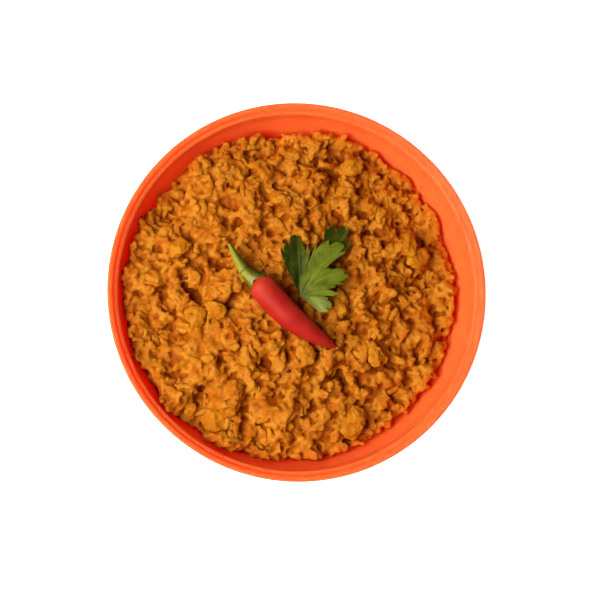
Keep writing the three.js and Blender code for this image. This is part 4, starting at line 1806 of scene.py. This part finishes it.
@dataclass
class ChilliStalk(Piece):
    """The green stalk with its ribs, the joint, and the cap whose points lie on the pod's shoulder."""

    name: str = "chilli_stalk_cap"
    slot: Slot = Slot.STALK
    stands_for: Node = Node.STALK
    steps: int = 90
    around: int = 80
    ribs: int = 3
    joint_at: float = 0.66
    joint_depth: float = 0.22
    point_reach: float = 0.016
    cap_thickness: float = 0.45

    def build(self, chilli: Chilli) -> bpy.types.Object:
        """Shapes the outside down to the cap's points, and the cap's inside against the pod.

        Args:
            chilli: the line and the outlines.

        Returns:
            The stalk's piece.
        """
        whole = chilli.pod_start + chilli.calyx_overlap
        end = whole - 0.012
        turns = full_turn(self.around)
        star = np.cos(self.ribs * (turns - 0.26))
        # which side of the stalk gets painted light and which gets painted shade
        painted_lit_side = 0.5 + 0.5 * np.cos(turns - 0.75)
        rings, ribs, joints, alongs = [], [], [], []
        for step in np.linspace(0, 1, self.steps):
            share = end * step + self.point_reach * star * step**6
            radius = chilli.stalk_radius_at(share / whole)
            pod = chilli.pod_radius_at(chilli.pod_share(share))
            radius = np.maximum(radius, np.where(share > chilli.pod_start, pod + self.cap_thickness, 0))
            ridge = (0.02 + 0.05 * step**2) * star
            knuckle = math.exp(-(((step - self.joint_at) / 0.012) ** 2))
            swell = math.exp(-(((step - self.joint_at - 0.05) / 0.03) ** 2))
            reach = radius * (1 + ridge + 0.05 * swell) - self.joint_depth * knuckle
            rings.append(self.ring(chilli, share, reach, turns))
            ribs.append(0.5 + 0.5 * star)
            joints.append(np.full(self.around, knuckle))
            alongs.append(np.full(self.around, step))
        for inward in (0.25, 0.12, 0.0):
            share = end + self.point_reach * star - 0.003 * (1 - inward * 4)
            pod = chilli.pod_radius_at(chilli.pod_share(share))
            rings.append(self.ring(chilli, share, pod + inward, turns))
            ribs.append(0.5 + 0.5 * star)
            joints.append(np.zeros(self.around))
            alongs.append(np.ones(self.around))
        back = chilli.at(chilli.pod_start + 0.01)
        points, faces = tube(rings, chilli.at(0.0), back)
        made = make_object(self.name, points, faces)
        sides = [painted_lit_side] * len(rings)
        for name, rows in (("rib", ribs), ("joint", joints), ("along", alongs), ("painted_lit_side", sides)):
            set_values(made.data, name, np.concatenate([[rows[0][0]], np.concatenate(rows), [rows[-1][0]]]))
        return self.settle(made, StalkFinish().material())

    @staticmethod
    def ring(chilli: Chilli, share: np.ndarray, reach: np.ndarray, turns: np.ndarray) -> np.ndarray:
        """One ring of points round the line, each at its own share and reach."""
        share = np.broadcast_to(share, turns.shape)
        middle, (_, right, up) = chilli.at(share), chilli.axes(share)
        return middle + right * (reach * np.cos(turns))[:, None] + up * (reach * np.sin(turns))[:, None]


# ---------------------------------------------------------------- herb leaves


@dataclass(frozen=True)
class Lobe:
    """One lobe: the direction of its tip, its reach and teeth, the notch it ends at, and over how many
    degrees it rises from the notch before it."""

    tip: float
    reach: float
    teeth: int
    to: float
    notch: float
    opens_over: float = 3.4


@dataclass
class Leaf(Piece):
    """A herb leaf that fans out from its foot, creased along one line. Angles are in degrees."""

    name: str
    slot: Slot = Slot.HERB
    stands_for: Node = Node.LEAF
    foot: tuple[float, float] = (0, 0)
    start: float = 0
    start_reach: float = 6
    lobes: tuple[Lobe, ...] = ()
    crease: float = 0
    left_slope: float = 0
    right_rise: float = 0
    right_span: float = 20
    droop: float = 0
    shade: float = 0
    thickness: float = 0.34
    taper_depth: float = 0.24
    taper_power: float = 1.3
    tooth_depth: float = 0.13
    notch_width: float = 3.4
    notch_ease: float = 0.75
    steps_per_tooth: int = 12
    rings: int = 46
    sweep: float = 0
    sweep_until: float = 72
    sweep_from: float = 10
    ripple_depth: float = 0.4
    ripple_along: float = 0.42
    ripple_around: float = 9
    ripple_from: float = 12

    def edge(self) -> np.ndarray:
        """The leaf's outline as [angle, reach] in turn."""
        found = [(math.radians(self.start), self.start_reach)]
        begin, notch_before = math.radians(self.start), self.start_reach
        for lobe in self.lobes:
            tip, to = math.radians(lobe.tip), math.radians(lobe.to)
            steps = lobe.teeth * self.steps_per_tooth
            for i in range(1, steps):
                share = (1 - math.cos(math.pi * i / steps)) / 2
                angle = begin + (to - begin) * share
                aside = (tip - angle) / (tip - begin) if angle < tip else (angle - tip) / (to - tip)
                spot = i / steps * lobe.teeth
                from_point = abs((spot + 0.16 * math.sin(5 * spot + lobe.tip)) % 1 - 0.5) * 2
                jag = self.tooth_depth * (1 + 0.5 * math.sin(2.6 * spot + 0.7 * lobe.tip))
                shorter = self.taper_depth * aside**self.taper_power + jag * from_point**1.2
                from_notches = min((angle - begin) / lobe.opens_over, (to - angle) / self.notch_width)
                reach = lobe.reach * (1 - shorter)
                low = notch_before if i < steps / 2 else lobe.notch
                ease = min(1.0, math.degrees(from_notches)) ** self.notch_ease
                found.append((angle, low + (reach - low) * ease))
            found.append((to, lobe.notch))
            begin, notch_before = to, lobe.notch
        return np.array(found)

    def height(self, form: HeapForm, x: np.ndarray, y: np.ndarray) -> np.ndarray:
        """The height of the leaf's middle before it is lifted clear of the rice."""
        dx, dy = x - self.foot[0], y - self.foot[1]
        away, crease = np.hypot(dx, dy), math.radians(self.crease)
        across = dx * math.sin(crease) - dy * math.cos(crease)
        arch = self.right_rise * np.sin(math.pi * across / self.right_span)
        wave = np.sin(away * self.ripple_along + np.arctan2(dy, dx) * self.ripple_around)
        ripple = self.ripple_depth * wave * np.minimum(1, away / self.ripple_from)
        fold = np.where(across > 0, arch, -self.left_slope * across)
        return form.dome(x, y) + fold + ripple - self.droop * away

    def lift(self, form: HeapForm) -> float:
        """How far the CAD leaf's middle lies over that height."""
        corners = points_of(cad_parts[self.stands_for.value].data)
        return float((corners[:, 2] - self.height(form, corners[:, 0], corners[:, 1])).mean())

    def vein_distance(self, dx: np.ndarray, dy: np.ndarray) -> tuple[np.ndarray, np.ndarray]:
        """How far places are from the leaf's veins.

        Args:
            dx: the places' x from the foot.
            dy: their y from the foot.

        Returns:
            The distances to the main veins and to the side veins.
        """
        main, side = np.full(dx.shape, 99.0), np.full(dx.shape, 99.0)
        begin = self.start
        for lobe in self.lobes:
            tip = math.radians(lobe.tip)
            ahead = np.array((math.cos(tip), math.sin(tip)))
            along = np.clip(dx * ahead[0] + dy * ahead[1], 0, lobe.reach * 0.94)
            main = np.minimum(main, np.hypot(dx - along * ahead[0], dy - along * ahead[1]))
            for k in range(1, lobe.teeth + 2):
                for hand, edge in ((1, lobe.to), (-1, begin)):
                    open_angle = math.radians(min(34.0, abs(edge - lobe.tip) * 1.5 + 12))
                    out = lobe.reach * (0.3 + 0.6 * k / (lobe.teeth + 2))
                    base = out * ahead
                    turn = tip + hand * open_angle
                    way = np.array((math.cos(turn), math.sin(turn)))
                    run = np.clip((dx - base[0]) * way[0] + (dy - base[1]) * way[1], 0, lobe.reach * 0.3)
                    gap = np.hypot(dx - base[0] - run * way[0], dy - base[1] - run * way[1])
                    side = np.minimum(side, gap)
            begin = lobe.to
        return main, side

    def build(self, form: HeapForm) -> bpy.types.Object:
        """Makes the leaf as a thin closed sheet, with its veins sunk in its upper face.

        Args:
            form: the heap that it lies on.

        Returns:
            The leaf's piece.
        """
        edge = self.edge()
        shares = np.linspace(0, 1, self.rings + 1)[1:] ** 0.9
        reach = edge[:, 1][:, None] * shares[None]
        angle = np.broadcast_to(edge[:, 0][:, None], reach.shape)
        straight_x, straight_y = (
            np.concatenate([[0], (reach * turn(angle)).ravel()]) for turn in (np.cos, np.sin)
        )
        swept = angle - self.swing(angle) * np.maximum(0, reach - self.sweep_from)
        x, y = (np.concatenate([[0], (reach * turn(swept)).ravel()]) for turn in (np.cos, np.sin))
        rim_share = np.concatenate([[0], np.tile(shares, len(edge))])
        level = self.height(form, x + self.foot[0], y + self.foot[1]) + self.lift(form)
        main, side = self.vein_distance(straight_x, straight_y)
        away = np.hypot(x, y)
        widths = 0.62 - 0.012 * away
        vein = np.maximum(np.exp(-((main / widths) ** 2)), 0.3 * np.exp(-((side / 0.3) ** 2)))
        puff = 0.3 * np.clip(main / 2.4, 0, 1) * (1 - 0.6 * rim_share**6)
        level = level - 0.16 * vein + puff - 0.1
        half = self.thickness / 2 * (1 - 0.65 * rim_share**8)
        faces = self.sheet_faces(len(edge))
        count = len(x)
        places = {
            side_of: np.column_stack([x + self.foot[0], y + self.foot[1], level + side_of.value * half])
            for side_of in Face
        }
        rim = self.rim(len(edge))
        walls = []
        for i, top in enumerate(rim):
            after = rim[(i + 1) % len(rim)]
            walls += [(top, top + count, after + count), (top, after + count, after)]
        points = np.vstack([places[Face.UPPER], places[Face.LOWER]])
        made = make_object(self.name, points, np.vstack([faces, faces[:, ::-1] + count, np.array(walls)]))
        crease = math.radians(self.crease)
        across = x * math.sin(crease) - y * math.cos(crease)
        # bright: painted light on the side of the crease turned to the light, painted shade on the other
        bright = np.clip(0.3 + across / 8, 0, 1)
        turned = np.concatenate([[0], angle.ravel()])
        # low: where the lowest lobe gets its painted highlight
        low = np.clip((math.radians(2) - turned) * 6, 0, 1) * (rim_share > 0.3)
        set_values(made.data, "low", np.tile(low, 2))
        set_values(made.data, "vein", np.tile(vein, 2))
        set_values(made.data, "bright", np.tile(bright, 2))
        return self.settle(made, HerbFinish().material(self.name + "_green", self.shade))

    def swing(self, angle: np.ndarray) -> np.ndarray:
        """How far the leaf's rays bend to the right, for each millimetre past where they start to bend."""
        return math.radians(self.sweep) * np.clip((self.sweep_until - np.degrees(angle)) / 22, 0, 1)

    def sheet_faces(self, rays: int) -> np.ndarray:
        """The triangles of one face of the leaf, whose first point is the foot."""
        grid = 1 + np.arange(rays * self.rings).reshape(rays, self.rings)
        hub = np.column_stack([np.zeros(rays - 1, int), grid[:-1, 0], grid[1:, 0]])
        a, b = grid[:-1, :-1].ravel(), grid[:-1, 1:].ravel()
        c, d = grid[1:, 1:].ravel(), grid[1:, :-1].ravel()
        return np.vstack([hub, np.column_stack([a, b, c]), np.column_stack([a, c, d])])

    def rim(self, rays: int) -> list[int]:
        """The points round the leaf's outline, in turn."""
        grid = 1 + np.arange(rays * self.rings).reshape(rays, self.rings)
        return [0, *grid[0, :-1].tolist(), *grid[:, -1].tolist(), *grid[-1, -2::-1].tolist()]


BIG_LEAF = Leaf(
    name="herb_leaf_blade",
    stands_for=Node.LEAF,
    foot=(0.8, -2.7),
    start=-41,
    start_reach=8.5,
    lobes=(
        Lobe(-15, 15.4, 4, 2, 10.5),
        Lobe(12, 17.8, 3, 21, 15.4),
        Lobe(43, 24.8, 5, 54, 16.0),
        Lobe(60, 31.4, 6, 77, 12.4),
        Lobe(93, 28.6, 7, 119, 6, opens_over=1.2),
    ),
    crease=88,
    left_slope=0.36,
    right_rise=2.2,
    right_span=28,
    sweep=1.1,
)
SMALL_LEAF = Leaf(
    name="herb_leaflet_blade",
    stands_for=Node.LEAFLET,
    foot=(12.4, 14),
    start=20,
    lobes=(Lobe(36, 15.6, 3, 43, 12), Lobe(54, 18.8, 6, 98, 6)),
    tooth_depth=0.2,
    crease=60,
    left_slope=0.05,
    right_rise=0.5,
    right_span=20,
    droop=0.03,
    # the leaflet lies in the big leaf's shadow, so painted shade darkens it
    shade=0.55,
)


# ---------------------------------------------------------------- studio


@dataclass
class Studio:
    """The plain table, the soft light and the camera at the photograph's angle."""

    floor_radius: float = 9.0
    floor_gap: float = 0.00005
    key_turn: float = 195
    key_height: float = 51.5
    key_distance: float = 0.85
    key_size: float = 0.7
    key_power: float = 13.2
    sky_top: float = 0.18
    sky_edge: float = 0.9
    sky_from: float = 0.02
    sky_to: float = 0.12
    sky_tint: tuple[float, float, float, float] = (1.0, 0.68, 0.62, 1.0)
    view_tilt: float = 8.3
    view_turn: float = 223
    view_distance: float = 0.62
    aim_aside: float = -0.00196
    aim_up: float = -0.00258
    lens: float = 84.92
    sensor: float = 36
    rim_height: float = 0.064

    def floor(self) -> None:
        """Lays the table under the bowl."""
        disc = bmesh.new()
        bmesh.ops.create_circle(disc, cap_ends=True, segments=96, radius=self.floor_radius)
        mesh = bpy.data.meshes.new("table_top")
        disc.to_mesh(mesh)
        disc.free()
        mesh.materials.append(FloorFinish().material())
        table = link("table_top", mesh)
        table.location.z = -self.floor_gap

    def key(self) -> None:
        """Hangs the soft key light on the left."""
        lamp = bpy.data.lights.new("key_light", "AREA")
        lamp.shape = "DISK"
        lamp.size = self.key_size
        lamp.energy = self.key_power
        lamp.color = (1.0, 0.985, 0.96)
        light = link("key_light", lamp)
        turn, rise = math.radians(self.key_turn), math.radians(self.key_height)
        way = Vector((math.cos(rise) * math.cos(turn), math.cos(rise) * math.sin(turn), math.sin(rise)))
        light.location = Vector((0, 0, self.rim_height)) + way * self.key_distance
        light.rotation_euler = way.to_track_quat("Z", "Y").to_euler()

    def sky(self) -> None:
        """Lights the room evenly, brighter and white at the horizon, warmer overhead."""
        world = bpy.data.worlds.new("studio")
        world.use_nodes = True
        tree = world.node_tree
        background = tree.nodes["Background"]
        place = tree.nodes.new("ShaderNodeTexCoord")
        split = tree.nodes.new("ShaderNodeSeparateXYZ")
        tree.links.new(place.outputs["Generated"], split.inputs["Vector"])
        tint = tree.nodes.new("ShaderNodeMix")
        tint.data_type = "RGBA"
        tint.inputs[6].default_value, tint.inputs[7].default_value = (1, 1, 1, 1), self.sky_tint
        self.grade(tree, split.outputs["Z"], (self.sky_edge, self.sky_top), background.inputs["Strength"])
        self.grade(tree, split.outputs["Z"], (0, 1), tint.inputs["Factor"])
        tree.links.new(tint.outputs[2], background.inputs["Color"])
        bpy.context.scene.world = world

    def grade(
        self,
        tree: bpy.types.NodeTree,
        height: bpy.types.NodeSocket,
        ends: tuple[float, float],
        into: bpy.types.NodeSocket,
    ) -> None:
        """Feeds a socket with a number that changes from the horizon up.

        Args:
            tree: the sky's nodes.
            height: the height in the sky.
            ends: the number at the horizon and the number overhead.
            into: the socket.
        """
        node = tree.nodes.new("ShaderNodeMapRange")
        names = ("From Min", "From Max", "To Min", "To Max")
        for name, number in zip(names, (self.sky_from, self.sky_to, *ends)):
            node.inputs[name].default_value = number
        tree.links.new(height, node.inputs["Value"])
        tree.links.new(node.outputs["Result"], into)

    def camera(self) -> None:
        """Sets the camera at the photograph's viewing angle."""
        tilt, turn = math.radians(self.view_tilt), math.radians(self.view_turn)
        back = Vector((math.sin(tilt) * math.cos(turn), math.sin(tilt) * math.sin(turn), math.cos(tilt)))
        right = Vector((0, 1, 0)).cross(back).normalized()
        up = back.cross(right)
        aim = Vector((0, 0, self.rim_height)) + right * self.aim_aside + up * self.aim_up
        data = bpy.data.cameras.new("camera")
        data.sensor_fit = "HORIZONTAL"
        data.sensor_width = self.sensor
        data.lens = self.lens
        data.clip_start, data.clip_end = 0.01, 30
        camera = link("camera", data)
        facing = Matrix((right, up, back)).transposed().to_4x4()
        camera.matrix_world = Matrix.Translation(aim + back * self.view_distance) @ facing
        bpy.context.scene.camera = camera

    def build(self) -> None:
        """Sets everything up, and shows colours as they are."""
        self.camera()
        self.floor()
        self.key()
        self.sky()
        bpy.context.scene.view_settings.view_transform = "Standard"


# ---------------------------------------------------------------- the whole serving


def write_sizes() -> None:
    """Brings the view layer up to date."""
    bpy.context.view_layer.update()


def main() -> None:
    """Builds the serving piece by piece."""
    logging.basicConfig(level=logging.INFO, format="%(name)s: %(message)s")
    noise.seed_set(NOISE_SEED)
    Studio().build()
    bowl = Bowl()
    bowl.build()
    form = HeapForm(bowl=bowl)
    chilli = Chilli(form)
    pile = Pile(form, bowl)
    chicken = Chicken()
    places = chicken.places(form, chilli)
    for x, y, size, _, _ in places:
        pile.keep_clear(x, y, CLEAR_SHARE * size[1], CLEAR_DEPTH)
    pile.fill()
    log.info("%d grains laid", len(pile.grains))
    RiceMass().build(pile, chilli)
    LooseGrains().build(pile)
    chicken.build(pile, places)
    SpiceFlakes().build(pile)
    ChilliPod().build(chilli)
    ChilliStalk().build(chilli)
    BIG_LEAF.build(form)
    SMALL_LEAF.build(form)
    write_sizes()


if __name__ == "__main__":
    main()
